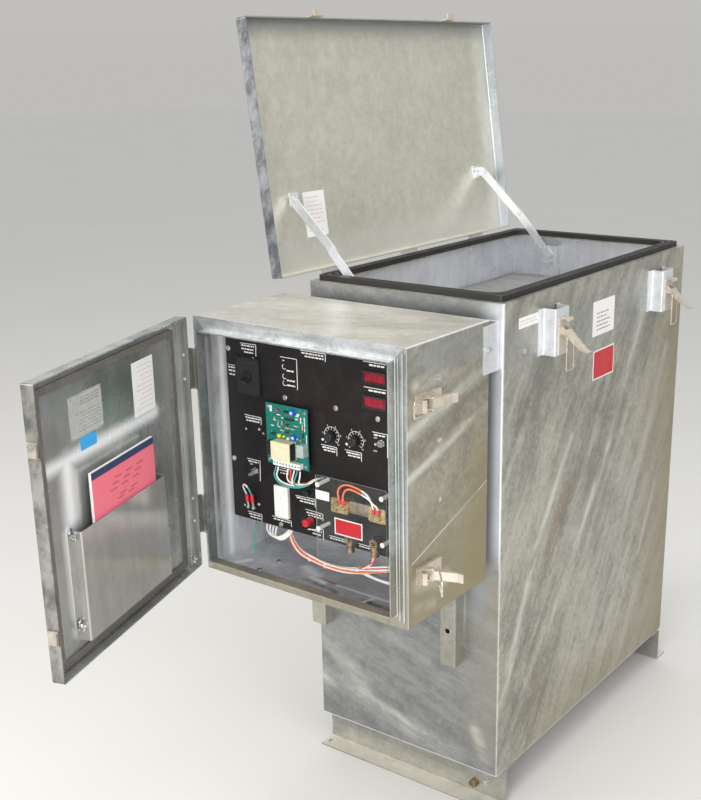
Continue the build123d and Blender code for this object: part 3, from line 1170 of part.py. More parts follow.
# Clear cover on four posts in front of the live parts
cover_y = (PANEL_FRONT - COVER_OFF - COVER_SHEET, PANEL_FRONT - COVER_OFF)
cover = rounded(COVER_X, cover_y, COVER_Z, 4, Axis.Y)
posts = []
for x, z in POST_AT:
    cover -= peg((x, cover_y[0] - 1, z), (0, 1, 0), BOLT_R, COVER_SHEET + 2)
    post = peg((x, PANEL_FRONT, z), (0, -1, 0), POST_R, COVER_OFF)
    post += peg((x, cover_y[1], z), (0, -1, 0), BOLT_R - RUN, COVER_SHEET)
    post += peg((x, cover_y[0], z), (0, -1, 0), POST_R + 1, 2.5)
    posts.append(post)
save(cover, "clear_cover")
save(posts, "cover_posts")

# Terminal strips: a white one through the panel and a plain one behind its right side
panel -= span(STRIP_X, (PANEL_FRONT - 1, PANEL_BACK + 1), STRIP_Z)
strip = rounded(
    (STRIP_X[0] + GAP, STRIP_X[1] - GAP), (PANEL_FRONT - STRIP_RAISE, PANEL_BACK + STRIP_BEHIND),
    (STRIP_Z[0] + GAP, STRIP_Z[1] - GAP), 1.5, Axis.Y,
)
end_block = span(END_BLOCK_X, (PANEL_BACK, PANEL_BACK + STRIP_BEHIND), END_BLOCK_Z)
save([strip, end_block], "terminal_strips")
save(panel, "instrument_panel")


# Wiring: one loom that swings under the panel and one from the board's connector
def tube(points, radius, name):
    """Round tube through a line of points, every bend as large as its runs allow."""
    corners = [Vector(*point) for point in points]
    radii = []
    for a, b, c in zip(corners, corners[1:], corners[2:]):
        turn = (b - a).get_angle(c - b)
        run = min((b - a).length, (c - b).length)
        radii.append(0.45 * run / abs(sin(radians(turn / 2)) / cos(radians(turn / 2))))
    path = FilletPolyline(*points, radius=radii)
    start = Plane(origin=corners[0], z_dir=(corners[1] - corners[0]).normalized())
    solid = sweep(start * Circle(radius), path=path)
    expected = 3.14159265 * radius**2 * path.length
    print(name, "bend radii", [round(value) for value in radii], "volume ratio", round(solid.volume / expected, 4))
    return solid


strip_foot = STRIP_Z[0] + GAP
behind = PANEL_BACK + STRIP_BEHIND / 2
loom_points = (
    ((STRIP_X[0] + STRIP_X[1]) / 2, behind, strip_foot),
    ((STRIP_X[0] + STRIP_X[1]) / 2, behind, LOOM_END_Z[0]),
    *LOOM_BENDS,
    ((END_BLOCK_X[0] + END_BLOCK_X[1]) / 2, behind, LOOM_END_Z[1]),
    ((END_BLOCK_X[0] + END_BLOCK_X[1]) / 2, behind, END_BLOCK_Z[0]),
)
save(tube(loom_points, LOOM_R, "main_loom"), "main_loom")
connector = BOARD_BLOCKS[3]
board_loom_points = (
    (BOARD_LOOM_X, board_front - connector[2] / 2, connector[1][0]),
    (BOARD_LOOM_X, board_front - connector[2] / 2, BOARD_LOOM_DROP_Z),
    *BOARD_LOOM_BENDS,
    (BOARD_LOOM_BENDS[-1][0], PANEL_FRONT, BOARD_LOOM_BENDS[-1][2]),
)
save(tube(board_loom_points, BOARD_LOOM_R, "board_loom"), "board_loom")

# Move everything so that the bounding box stands on the origin by its bottom centre
whole = Compound([solid for solids in NODES.values() for solid in solids]).bounding_box()
SHIFT = Vector(-(whole.min.X + whole.max.X) / 2, -(whole.min.Y + whole.max.Y) / 2, -whole.min.Z)

os.makedirs("parts", exist_ok=True)
for node, solids in NODES.items():
    moved = [solid.moved(Location(SHIFT)) for solid in solids]
    export_step(moved[0] if len(moved) == 1 else Compound(moved), f"parts/{node}.step")
print("nodes", len(NODES), "shift", SHIFT)
print("box", whole.min + SHIFT, whole.max + SHIFT)
print("swings", LOWER_SWING, UPPER_SWING, "bail shut at", BAIL_SHUT)
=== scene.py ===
import random
from math import cos, pi, radians, sin

import bmesh
import bpy
from mathutils import Matrix, Vector


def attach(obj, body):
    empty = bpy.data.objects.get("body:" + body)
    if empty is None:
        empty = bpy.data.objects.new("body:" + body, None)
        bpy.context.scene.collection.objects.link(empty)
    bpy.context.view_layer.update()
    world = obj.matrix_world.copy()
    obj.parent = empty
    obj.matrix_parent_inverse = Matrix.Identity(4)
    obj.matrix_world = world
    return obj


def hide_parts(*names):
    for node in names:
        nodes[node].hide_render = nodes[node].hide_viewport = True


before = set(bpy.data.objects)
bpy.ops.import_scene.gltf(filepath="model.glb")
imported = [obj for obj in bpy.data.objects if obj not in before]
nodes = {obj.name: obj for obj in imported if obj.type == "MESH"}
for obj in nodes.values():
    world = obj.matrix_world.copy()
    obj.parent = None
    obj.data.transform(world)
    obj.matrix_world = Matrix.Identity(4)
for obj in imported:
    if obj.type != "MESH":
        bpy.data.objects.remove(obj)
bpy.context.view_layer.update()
random.seed(7)

# The source's own axes: tank centred on X, its front wall on Y = 0, the floor on Z = 0
SHIFT = Vector((21.896, -39.4404, 0.0))


def at(x, y, z):
    """A point of the source's own axes, in millimetres, as a point of the frame."""
    return (Vector((x, y, z)) + SHIFT) / 1000


class Face:
    """A flat face that details lie on: two directions along it and the way out of it."""

    def __init__(self, origin, across, up, out):
        self.origin = Vector(origin)
        self.across = Vector(across).normalized()
        self.up = Vector(up).normalized()
        self.out = Vector(out).normalized()

    def point(self, a, b, off=0.0):
        return at(*(self.origin + self.across * a + self.up * b + self.out * off))

    def reach(self, node):
        """How far a node's points reach out of the face, in millimetres."""
        base = at(*self.origin)
        return max((v.co - base).dot(self.out) * 1000 for v in nodes[node].data.vertices)


PANEL = Face((0, -229, 0), (1, 0, 0), (0, 0, 1), (0, -1, 0))
BOARD = Face((0, -240, 0), (1, 0, 0), (0, 0, 1), (0, -1, 0))
COVER = Face((0, -262, 0), (1, 0, 0), (0, 0, 1), (0, -1, 0))
TANK_SIDE = Face((245, 0, 0), (0, 1, 0), (0, 0, 1), (1, 0, 0))
DOOR = Face((-285.5, -333.8, 0), (0.314, -0.949, 0), (0, 0, 1), (0.949, 0.314, 0))
LID = Face((-286.3, 0, 1152.8), (0, 1, 0), (-0.1305, 0, 0.9914), (0.9914, 0, 0.1305))
DOOR_SKIN = -23.2
LID_SKIN = -27.0


# Shader graphs
class Graph:
    """One material and the nodes that feed its shader."""

    def __init__(self, name, colour=(0.5, 0.5, 0.5), rough=0.5, metal=0.0):
        self.material = bpy.data.materials.new(name)
        self.material.use_nodes = True
        self.tree = self.material.node_tree
        self.shader = self.tree.nodes["Principled BSDF"]
        self.set("Base Color", (*colour, 1.0))
        self.set("Roughness", rough)
        self.set("Metallic", metal)
        self.place = self.node("TexCoord").outputs["Object"]

    def set(self, socket, value):
        self.shader.inputs[socket].default_value = value

    def node(self, kind, inputs=(), **settings):
        made = self.tree.nodes.new("ShaderNode" + kind)
        for name, value in settings.items():
            setattr(made, name, value)
        for key, value in dict(inputs).items():
            socket = made.inputs[key]
            if isinstance(value, bpy.types.NodeSocket):
                self.tree.links.new(value, socket)
            else:
                socket.default_value = value
        return made

    def math(self, operation, a, b=0.0):
        return self.node("Math", {0: a, 1: b}, operation=operation).outputs[0]

    def times(self, a, b):
        return self.math("MULTIPLY", a, b)

    def vector(self, operation, a, b=(0, 0, 0), output=0):
        return self.node("VectorMath", {0: a, 1: b}, operation=operation).outputs[output]

    def scaled(self, vector, by):
        return self.node("VectorMath", {0: vector, 3: by}, operation="SCALE").outputs[0]

    def noise(self, scale, detail=4.0, vector=None, rough=0.55):
        inputs = {"Vector": vector or self.place, "Scale": scale, "Detail": detail, "Roughness": rough}
        return self.node("TexNoise", inputs).outputs["Fac"]

    def cells(self, scale):
        made = self.node("TexVoronoi", {"Vector": self.place, "Scale": scale})
        split = self.node("SeparateColor", {0: made.outputs["Color"]})
        return split.outputs[0], made.outputs["Distance"]

    def squeeze(self, along, keep):
        """The place with its share along a direction cut down, so that noise runs in streaks."""
        along = Vector(along).normalized()
        share = self.vector("DOT_PRODUCT", self.place, tuple(along), output=1)
        return self.vector("SUBTRACT", self.place, self.scaled(tuple(along * (1 - keep)), share))

    def span(self, value, low, high, start=0.0, end=1.0):
        inputs = {"Value": value, "From Min": low, "From Max": high, "To Min": start, "To Max": end}
        return self.node("MapRange", inputs, interpolation_type="SMOOTHSTEP").outputs[0]

    def mix(self, factor, a, b, blend="MIX"):
        ends = [(*end, 1.0) if isinstance(end, tuple) else end for end in (a, b)]
        inputs = {0: factor, 6: ends[0], 7: ends[1]}
        return self.node("Mix", inputs, data_type="RGBA", blend_type=blend).outputs[2]

    def near(self, a, b, width, soft=1.0):
        """How near a place is to the line from a to b: 1 on it, 0 at its width away."""
        start, end = at(*a), at(*b)
        run = end - start
        from_start = self.vector("SUBTRACT", self.place, tuple(start))
        share = self.vector("DOT_PRODUCT", from_start, tuple(run / run.length_squared), output=1)
        share = self.node("Clamp", {0: share}).outputs[0]
        along = self.scaled(tuple(run), share)
        gap = self.vector("DISTANCE", from_start, along, output=1)
        return self.span(gap, width / 1000 * (1 - soft), width / 1000, 1.0, 0.0)

    def beyond(self, face, off):
        """1 where a place lies further out of a face than a distance in millimetres, 0 elsewhere."""
        from_there = self.vector("SUBTRACT", self.place, tuple(face.point(0, 0, off)))
        share = self.vector("DOT_PRODUCT", from_there, tuple(face.out), output=1)
        return self.math("GREATER_THAN", share, 0.0)

    def feed(self, socket, value):
        self.tree.links.new(value, self.shader.inputs[socket])

    def bump(self, height, strength, distance=0.001):
        made = self.node("Bump", {"Height": height, "Strength": strength, "Distance": distance})
        self.feed("Normal", made.outputs[0])


def tone(red, green, blue):
    """A colour given as it looks, 0 to 255 a channel."""
    return tuple(((value / 255 + 0.055) / 1.055) ** 2.4 for value in (red, green, blue))


def galvanised(
    name, dark, light, along=(0, 0, 1), rough=(0.3, 0.45), metal=0.55, grain=0.35, roll=0.5, cloud=0.8,
    mottle=0.5, bump=0.1, fades=(), streaks=(), edge_highlights=(), shaded_creases=(), painted_glares=(), side=None
):
    """Zinc sheet: clouds, small spangle and rolled streaks, with fades, marks, painted edge highlights,
    painted shade in creases and painted glare where given.

    Its colours are given as they look, 0 to 255 a channel; most fades and streaks are painted reflections,
    highlights and shade.
    With a side, a face and a distance out of it, the marks keep to what lies further out than that,
    and the rest is the outer skin: darker and duller, as the tank's own side. The inner side's lighter
    colours are painted light for a side that lies in shade.
    """
    g = Graph(name, metal=metal)
    fleck, distance = g.cells(110)
    clouds = g.noise(4.0, 8.0, rough=0.6)
    broad = g.noise(1.6, 3.0)
    rolled = g.noise(22.0, 5.0, g.squeeze(along, 0.05), 0.6)
    fine = g.noise(150.0, 4.0, g.squeeze(along, 0.06), 0.6)
    patchy = g.noise(36.0, 5.0, g.squeeze(along, 0.45), 0.62)
    parts = (
        (fleck, grain * 0.4), (clouds, cloud), (broad, 0.4), (patchy, mottle), (rolled, roll),
        (fine, roll * 0.4),
    )
    value = 0.0
    for part, share in parts:
        value = g.math("ADD", value, g.times(part, share))
    middle = sum(share for _, share in parts) / 2
    colour = g.mix(g.span(value, middle - 0.34, middle + 0.34), tone(*dark), tone(*light))
    kept = g.beyond(*side) if side else 1.0

    def mark(part, strength):
        return g.times(g.times(part, strength), kept)

    for a, b, width, tint, strength in fades:
        colour = g.mix(mark(g.near(a, b, width), strength), colour, tone(*tint))
    wobble = g.noise(11.0, 6.0, g.squeeze(along, 0.3), 0.68)
    for a, b, width, tint, strength in streaks:
        band = g.times(g.near(a, b, width), g.span(wobble, 0.38, 0.6, 0.1, 1.0))
        colour = g.mix(mark(band, strength), colour, tone(*tint))
    # Painted highlights along edges and bends
    for a, b, width in edge_highlights:
        colour = g.mix(mark(g.near(a, b, width, 0.6), 0.8), colour, tone(*EDGE_HIGHLIGHT))
    # Painted shade in creases and along folds
    for a, b, width in shaded_creases:
        colour = g.mix(mark(g.near(a, b, width, 0.5), 0.7), colour, tone(*SHADE))
    # Painted glare: near-white highlights and reflections, with less metal where they lie
    if painted_glares:
        painted_glare = 0.0
        for a, b, width, strength in painted_glares:
            painted_glare = g.math("MAXIMUM", painted_glare, mark(g.near(a, b, width), strength))
        colour = g.mix(painted_glare, colour, tone(*PAINTED_GLARE))
        g.feed("Metallic", g.times(g.math("SUBTRACT", 1.0, painted_glare), metal))
    gloss = g.span(clouds, 0.3, 0.7, rough[0], rough[1])
    # The outer skin is darkened back from the inner side's lighter colours, which stand in for light in the
    # shade, and made duller
    if side:
        outer_skin = g.math("SUBTRACT", 1.0, kept)
        colour = g.mix(outer_skin, colour, tone(*OUTER_SKIN_DARKER), "MULTIPLY")
        gloss = g.math("ADD", gloss, g.times(outer_skin, 0.25))
    g.feed("Base Color", colour)
    g.feed("Roughness", gloss)
    height = g.math("ADD", g.times(distance, 0.2), g.times(g.noise(9.0, 2.0), 1.5))
    g.bump(height, bump, 0.001)
    return g.material


def metal(name, dark, light, rough=(0.2, 0.4), scale=60.0, metal_share=1.0, along=None, bump=0.05):
    """Plated or bare metal: small clouds, fine scratches and uneven shine."""
    g = Graph(name, metal=metal_share)
    cloud = g.noise(scale, 5.0, rough=0.6)
    lines = g.noise(scale * 5, 3.0, g.squeeze(along or (0, 0, 1), 0.08))
    worn = g.math("ADD", g.times(cloud, 0.7), g.times(lines, 0.3))
    g.feed("Base Color", g.mix(g.span(worn, 0.33, 0.67), dark, light))
    g.feed("Roughness", g.span(cloud, 0.3, 0.7, rough[0], rough[1]))
    g.bump(worn, bump, 0.0002)
    return g.material


def plastic(name, colour, rough=0.4, scale=90.0, spread=0.12, bump=0.05, coat=0.0, dust=0.0):
    """Moulded or painted finish: slight mottling, a soft texture and dust where asked."""
    g = Graph(name)
    speck = g.noise(scale, 6.0, rough=0.65)
    wide = g.noise(scale / 9, 3.0)
    dark = tuple(c * (1 - spread) for c in colour)
    light = tuple(min(1.0, c * (1 + spread)) for c in colour)
    shade = g.mix(g.span(speck, 0.3, 0.7), dark, light)
    if dust:
        shade = g.mix(g.span(wide, 0.42, 0.75, 0.0, dust), shade, (0.3, 0.29, 0.27))
    g.feed("Base Color", shade)
    g.feed("Roughness", g.span(wide, 0.3, 0.7, rough - 0.07, rough + 0.07))
    g.bump(speck, bump, 0.0005)
    g.set("Coat Weight", coat)
    return g.material


def flat(axis, level):
    """The places of a flat face square to an axis, each by its two other measures in millimetres."""
    return lambda a, b: (*(a, b)[:axis], level, *(a, b)[axis:])


def on_door(along, height):
    """A place on the inner skin of the open door, by its distance from the hinge edge and its height."""
    return -307.5 + 0.314 * along, -341.1 - 0.949 * along, height


def marks(place, *rows):
    """Marks on a face: the two ends of each, by the face's measures, its width and what else it has."""
    return tuple((place(*row[:2]), place(*row[2:4]), *row[4:]) for row in rows)


# Faces that marks lie on, and what the marks look like; apart from the stain, the marks are painted light
# and shade
on_tank_side, on_tank_front = flat(0, 245), flat(1, 0)
on_cabinet_side, on_cabinet_front, on_cabinet_top = flat(0, 232.4), flat(1, -315), flat(2, 1122)
on_cabinet_wall, on_cabinet_floor = flat(0, -284.7), flat(2, 578.6)
# Edge lines and glare are painted highlights; the pale, soft, warm and cool tints are painted reflections;
# the shade is painted shade
EDGE_HIGHLIGHT = (232, 234, 232)
PAINTED_GLARE = (250, 251, 252)
PAINTED_REFLECTION = (216, 214, 204)
SOFT_REFLECTION = (190, 190, 184)
STAIN = (150, 126, 92)
WARM_REFLECTION = (144, 134, 107)
SHADE = (116, 118, 114)
COOL_REFLECTION = (160, 166, 172)
# Darkening for the outer skin, whose inner side has lighter colours that stand in for light in the shade
OUTER_SKIN_DARKER = (186, 184, 176)

# Zinc sheet, each face with its own marks, most of them painted reflections, highlights and shade
# Tank side: painted warm floor reflection at the rear and low down, painted cool reflection at the top,
# bright and soft streaks of painted reflection, painted shadows under the latch hats, two stain streaks and
# painted highlights on the edges
tank_side = galvanised(
    "tank_side", (126, 124, 112), (190, 187, 175), along=(0, 0.56, 0.83), roll=0.7,
    fades=marks(
        on_tank_side, (900, 900, 900, 90, 330, WARM_REFLECTION, 0.75), (0, 1050, 700, 1050, 120, COOL_REFLECTION, 0.3),
        (300, 90, 900, 90, 200, WARM_REFLECTION, 0.4),
    ),
    streaks=marks(
        on_tank_side, (645, 1015, 492, 725, 22, PAINTED_REFLECTION, 0.8), (492, 725, 190, 330, 26, PAINTED_REFLECTION, 0.85),
        (300, 800, 151, 581, 18, PAINTED_REFLECTION, 0.8), (151, 581, 10, 240, 26, PAINTED_REFLECTION, 0.85),
        (282, 690, 170, 515, 20, STAIN, 0.65), (232, 400, 130, 150, 18, STAIN, 0.6),
        (420, 800, 300, 560, 34, SOFT_REFLECTION, 0.6), (800, 900, 560, 420, 30, SOFT_REFLECTION, 0.6),
        (640, 640, 420, 260, 22, SOFT_REFLECTION, 0.7), (840, 700, 700, 380, 16, SOFT_REFLECTION, 0.6),
        (158, 1000, 105, 760, 46, SHADE, 0.75), (713, 1000, 660, 880, 40, SHADE, 0.7),
        (60, 700, 20, 560, 30, SOFT_REFLECTION, 0.5),
    ),
    edge_highlights=marks(on_tank_side, (0, 90, 0, 1147, 3.2), (0, 90, 880, 90, 2.5)),
)
# Tank front: painted cool reflections, a painted highlight on the strip by the right-hand edge where the
# cabinet's shadow falls, streaks of painted reflection, a warm tint by that edge and painted highlights on
# the edges
tank_front = galvanised(
    "tank_front", (116, 118, 118), (152, 153, 152), along=(1, 0, -0.3), cloud=0.45, mottle=0.7,
    roll=0.8,
    fades=marks(
        on_tank_front, (245, 200, 245, 800, 150, (152, 145, 127), 0.5),
        (170, 480, 200, 560, 50, COOL_REFLECTION, 0.5), (242, 640, 242, 1110, 70, (226, 230, 238), 0.95),
    ),
    streaks=marks(
        on_tank_front, (-245, 190, 150, 105, 34, PAINTED_REFLECTION, 0.75), (-230, 300, -120, 200, 40, PAINTED_REFLECTION, 0.45),
        (155, 520, 150, 390, 14, PAINTED_REFLECTION, 0.8), (190, 190, 215, 120, 26, PAINTED_REFLECTION, 0.5),
        (-40, 360, 60, 330, 30, SOFT_REFLECTION, 0.5),
    ),
    edge_highlights=marks(on_tank_front, (245, 90, 245, 1147, 3.2), (-245, 90, 245, 90, 2.5)),
)
# Cabinet side: painted warm floor reflection low down, painted cool reflection along the top, a darker ochre
# tint at mid-front, streaks of painted reflection and painted shade, a thin bright line of painted
# reflection and painted highlights on the edges
cabinet_side = galvanised(
    "cabinet_side", (122, 118, 103), (178, 174, 160), along=(0, 0.95, 0.28),
    fades=marks(
        on_cabinet_side, (-20, 600, -330, 600, 300, (148, 138, 109), 0.85),
        (-60, 1090, -260, 1090, 60, COOL_REFLECTION, 0.4), (-50, 840, -60, 640, 130, (144, 131, 94), 0.6),
    ),
    streaks=marks(
        on_cabinet_side, (-20, 1030, -320, 955, 24, PAINTED_REFLECTION, 0.9), (-20, 962, -320, 872, 18, PAINTED_REFLECTION, 0.85),
        (-60, 1000, -290, 925, 22, SHADE, 0.7), (-40, 1090, -200, 1062, 30, SHADE, 0.75),
        (-35, 795, -300, 706, 2.6, PAINTED_REFLECTION, 0.9), (-285, 1045, -190, 1048, 24, PAINTED_REFLECTION, 0.8),
        (-280, 660, -190, 640, 30, PAINTED_REFLECTION, 0.5), (-290, 610, -230, 600, 18, PAINTED_REFLECTION, 0.3),
    ),
    edge_highlights=marks(on_cabinet_side, (-315, 576, -315, 1122, 3), (-315, 1122, -34, 1122, 2.6)),
)
# Cabinet top, with a lighter and a darker streak and painted highlights along its front and right-hand edges
cabinet_top = galvanised(
    "cabinet_top", (172, 168, 156), (206, 203, 194), along=(0.9, 0.4, 0), rough=(0.35, 0.5),
    streaks=marks(
        on_cabinet_top, (-120, -60, 60, -300, 40, (222, 221, 216), 0.6),
        (-280, -70, -100, -50, 26, (150, 146, 132), 0.6),
    ),
    edge_highlights=marks(on_cabinet_top, (-287, -315, 232.4, -315, 3), (232.4, -315, 232.4, -34, 3)),
)
# Lid: its inner skin a lighter base, painted light for a side in shade, with a lighter band along the hinge
# end and a dark painted reflection of the free-edge flange along the top; the outer skin is darkened back
lid_zinc = galvanised(
    "lid_zinc", (188, 186, 171), (212, 210, 197), along=(1, 0, 0), rough=(0.28, 0.4), metal=0.6,
    roll=0.2, cloud=0.5, mottle=0.7, bump=0.05,
    fades=(
        ((-317, -44, 1170), (-317, 925, 1170), 80, (228, 226, 216), 0.6),
        ((-384, -44, 1700), (-384, 925, 1700), 66, (126, 129, 133), 0.95),
    ),
    side=(LID, LID_SKIN - 1.2),
)
# Door: its inner skin a lighter base, painted light for a side in shade; a dark painted reflection of the
# room at the top, painted glare and highlights round the manual, beside the pocket and along the hinge edge,
# and painted shade in the crease beside the pocket; the outer skin is darkened back
door_zinc = galvanised(
    "door_zinc", (160, 162, 160), (208, 209, 207), along=(0.1, 0.1, 1), rough=(0.16, 0.3), metal=0.7,
    grain=0.1, mottle=0.4, bump=0.03,
    fades=marks(
        on_door, (300, 1060, 200, 1030, 120, (112, 122, 114), 0.6),
        (500, 840, 490, 640, 60, (212, 210, 200), 0.5),
    ),
    painted_glares=marks(
        on_door, (480, 958, 110, 956, 24, 0.75), (425, 950, 425, 850, 40, 0.8),
        (440, 836, 436, 650, 26, 0.8), (520, 1090, 512, 1000, 12, 0.6), (24, 1100, 24, 620, 8, 0.5),
    ),
    streaks=marks(on_door, (505, 1090, 508, 960, 14, EDGE_HIGHLIGHT, 0.8), (30, 1100, 30, 620, 12, SOFT_REFLECTION, 0.7)),
    shaded_creases=marks(on_door, (452, 845, 448, 640, 3.0)),
    side=(DOOR, DOOR_SKIN - 1.2),
)
# Cabinet inside: a near-white base, painted light for an inside in shade; on the left wall a painted
# highlight band and painted shade, on the floor painted shade, a painted reflection of the red lead, a
# bluish-grey patch and painted glare
inner_zinc = galvanised(
    "inner_zinc", (196, 197, 200), (240, 242, 245), along=(0, 0.1, 1), rough=(0.14, 0.26),
    metal=0.25, grain=0.15, mottle=0.9, bump=0.04,
    streaks=marks(
        on_cabinet_wall, (-243, 1110, -243, 590, 16, EDGE_HIGHLIGHT, 0.9), (-275, 1110, -275, 590, 10, SHADE, 0.8),
        (-300, 900, -240, 980, 18, SHADE, 0.6),
    ) + marks(
        on_cabinet_floor, (20, -282, 215, -292, 26, (92, 90, 92), 0.85),
        (80, -262, 215, -275, 18, (66, 66, 68), 0.9),
        (-110, -244, 20, -262, 10, (104, 100, 100), 0.8),
        (-90, -226, 170, -248, 6, (214, 112, 104), 0.9),
        (-280, -120, -120, -160, 40, (176, 180, 188), 0.6),
    ),
    painted_glares=marks(
        on_cabinet_floor, (-110, -202, -66, -222, 24, 1.0), (-70, -232, -30, -242, 13, 1.0),
        (0, -236, 160, -240, 7, 0.9), (-250, -268, -236, -240, 12, 0.9), (90, -275, 100, -240, 8, 0.8),
    ) + marks(on_cabinet_wall, (-243, 1110, -243, 590, 14, 0.8)),
)
tank_inner = galvanised(
    "tank_inner", (198, 200, 206), (232, 234, 240), rough=(0.25, 0.4), metal=0.45,
    grain=0.15, bump=0.0, fades=(((-245, 40, 1050), (245, 40, 1050), 260, (206, 192, 182), 0.5),),
)
# Front lips, with a line of painted shade along the cabinet lip's fold
lip_zinc = galvanised(
    "lip_zinc", (160, 164, 165), (222, 225, 226), along=(1, 0, 0), rough=(0.2, 0.34), metal=0.65,
    roll=0.8, bump=0.05, shaded_creases=(((-270, -335, 1096), (215, -335, 1096), 1.6),),
)
# Front posts: lines of painted highlight on the bends, painted shade between them and a browner tint low
# down
post_zinc = galvanised(
    "post_zinc", (126, 130, 128), (186, 189, 188), rough=(0.2, 0.34), metal=0.6,
    roll=0.9, bump=0.05, fades=marks(on_cabinet_front, (223, 570, 223, 680, 70, (142, 137, 118), 0.75)),
    edge_highlights=marks(
        on_cabinet_front, (207.6, 600, 207.6, 1100, 1.6), (214, 590, 214, 1100, 1.4),
        (223.5, 590, 223.5, 1110, 1.4),
    ),
    shaded_creases=marks(on_cabinet_front, (216.5, 590, 216.5, 1100, 1.8), (226.5, 590, 226.5, 1110, 1.8)),
)
pocket_zinc = galvanised(
    "pocket_zinc", (172, 170, 164), (206, 204, 199), rough=(0.16, 0.3), metal=0.6,
    grain=0.1, roll=0.3, bump=0.05,
)

# Plainer zinc, some of it with shared settings
BRIGHT = {"rough": (0.25, 0.4), "metal": 0.6}
FOLD = {
    "along": (0.2, 0.4, 1), "rough": (0.22, 0.36), "metal": 0.6, "mottle": 1.4, "cloud": 0.7, "bump": 0.03,
}
bright_zinc = galvanised("bright_zinc", (206, 209, 211), (238, 240, 243), **BRIGHT)
lid_rear_zinc = galvanised("lid_rear_zinc", (168, 173, 181), (202, 207, 215), **BRIGHT)
door_edge_zinc = galvanised("door_edge_zinc", (88, 89, 86), (154, 152, 147), **FOLD)
edge_zinc = galvanised("edge_zinc", (96, 100, 107), (176, 179, 182), **FOLD)
foot_zinc = galvanised("foot_zinc", (134, 133, 126), (172, 171, 164), along=(1, 0, 0))
flange_zinc = galvanised("flange_zinc", (200, 197, 184), (228, 225, 214), along=(1, 0, 0))
sill_zinc = galvanised("sill_zinc", (134, 130, 115), (172, 168, 153), along=(1, 0, 0), bump=0.03)
mount_zinc = galvanised("mount_zinc", (136, 134, 124), (170, 168, 158), bump=0.05)
frame_zinc = galvanised(
    "frame_zinc", (160, 158, 149), (200, 199, 193), along=(1, 0, 0), rough=(0.28, 0.44)
)

# Plated and bare metal, rubber, paint, print and mouldings
hardware = metal("hardware", tone(170, 170, 166), tone(222, 222, 218), metal_share=0.8)
tan_zinc = metal(
    "tan_zinc", tone(190, 179, 162), tone(218, 209, 195), (0.2, 0.34), scale=14, metal_share=0.6, bump=0.01
)
wire_zinc = metal(
    "wire_zinc", tone(190, 178, 158), tone(216, 206, 190), (0.2, 0.3), scale=14, metal_share=0.7, bump=0.01
)
keeper_zinc = metal("keeper_zinc", tone(146, 141, 128), tone(186, 181, 168), (0.24, 0.4), metal_share=0.6)
rim_rubber = plastic("rim_rubber", tone(26, 23, 21), 0.45, scale=220, spread=0.3, bump=0.08, dust=0.02)
door_rubber = plastic(
    "door_rubber", (0.13, 0.115, 0.105), 0.62, scale=260, spread=0.25, bump=0.4, dust=0.2
)
panel_black = plastic(
    "panel_paint", (0.012, 0.0105, 0.0105), 0.38, scale=300, spread=0.25, bump=0.04, dust=0.01
)
panel_black.node_tree.nodes["Principled BSDF"].inputs["Specular IOR Level"].default_value = 0.3
moulded = plastic("moulded_black", (0.02, 0.02, 0.021), 0.36, scale=260, spread=0.2, bump=0.08)
white = plastic("white_moulding", (0.8, 0.8, 0.77), 0.4, spread=0.04)
ink = plastic("white_ink", (0.72, 0.72, 0.7), 0.55, scale=400, spread=0.12)
red_gloss = plastic("red_gloss", (0.62, 0.02, 0.035), 0.25, spread=0.1, coat=0.3)
brass = metal("worn_brass", (0.42, 0.31, 0.12), (0.78, 0.65, 0.34), (0.24, 0.45), scale=110)
bronze = metal("dark_bronze", (0.16, 0.11, 0.06), (0.45, 0.34, 0.2), (0.3, 0.5), scale=120)
blade_metal = metal("blade_metal", (0.3, 0.24, 0.2), (0.52, 0.44, 0.38), (0.3, 0.5), scale=80)
laminate = metal("core_steel", (0.06, 0.06, 0.065), (0.16, 0.16, 0.17), (0.45, 0.6), along=(1, 0, 0))
varnish = plastic("coil_varnish", (0.32, 0.16, 0.07), 0.42, scale=160, spread=0.3, bump=0.3)
aluminium = metal("fin_metal", (0.55, 0.55, 0.56), (0.78, 0.78, 0.79), (0.3, 0.45))


def circuit_paint():
    """Green board with paler copper lines under the varnish."""
    g = Graph("board_green", rough=0.35)
    lines, edge = g.cells(150)
    base = g.mix(g.noise(60.0, 4.0), (0.0, 0.12, 0.1), (0.01, 0.21, 0.17))
    base = g.mix(g.span(edge, 0.0, 0.12, 0.5, 0.0), base, (0.05, 0.38, 0.3))
    g.feed("Base Color", base)
    g.bump(lines, 0.15, 0.0003)
    return g.material


board_green = circuit_paint()
cream = plastic("cream_bobbin", (0.74, 0.68, 0.46), 0.5, spread=0.08)
blue_trim = plastic("blue_trim", (0.02, 0.14, 0.62), 0.35)
relay_clear = plastic("relay_case", (0.42, 0.47, 0.45), 0.25, spread=0.2)
yellow_part = plastic("yellow_part", (0.8, 0.7, 0.06), 0.4)
tan_part = plastic("tan_part", (0.6, 0.42, 0.22), 0.5)
solder = metal("solder", (0.55, 0.56, 0.56), (0.85, 0.86, 0.86), (0.2, 0.3), scale=300)
wire_white = plastic("wire_white", (0.82, 0.8, 0.76), 0.42, scale=300, spread=0.05)
wire_orange = plastic("wire_orange", tone(236, 120, 70), 0.42, scale=300, spread=0.08)
wire_teal = plastic("wire_teal", (0.05, 0.36, 0.33), 0.42, scale=300, spread=0.1)
wire_red = plastic("wire_red", (0.75, 0.06, 0.05), 0.4, scale=300, spread=0.08)
wire_dark = plastic("wire_dark", (0.05, 0.03, 0.03), 0.45, scale=300)
paper_white = plastic("paper_white", (0.78, 0.76, 0.74), 0.7, scale=500, spread=0.03, bump=0.03)
paper_pink = plastic("paper_pink", (0.8, 0.17, 0.22), 0.65, scale=300, spread=0.06, bump=0.05)
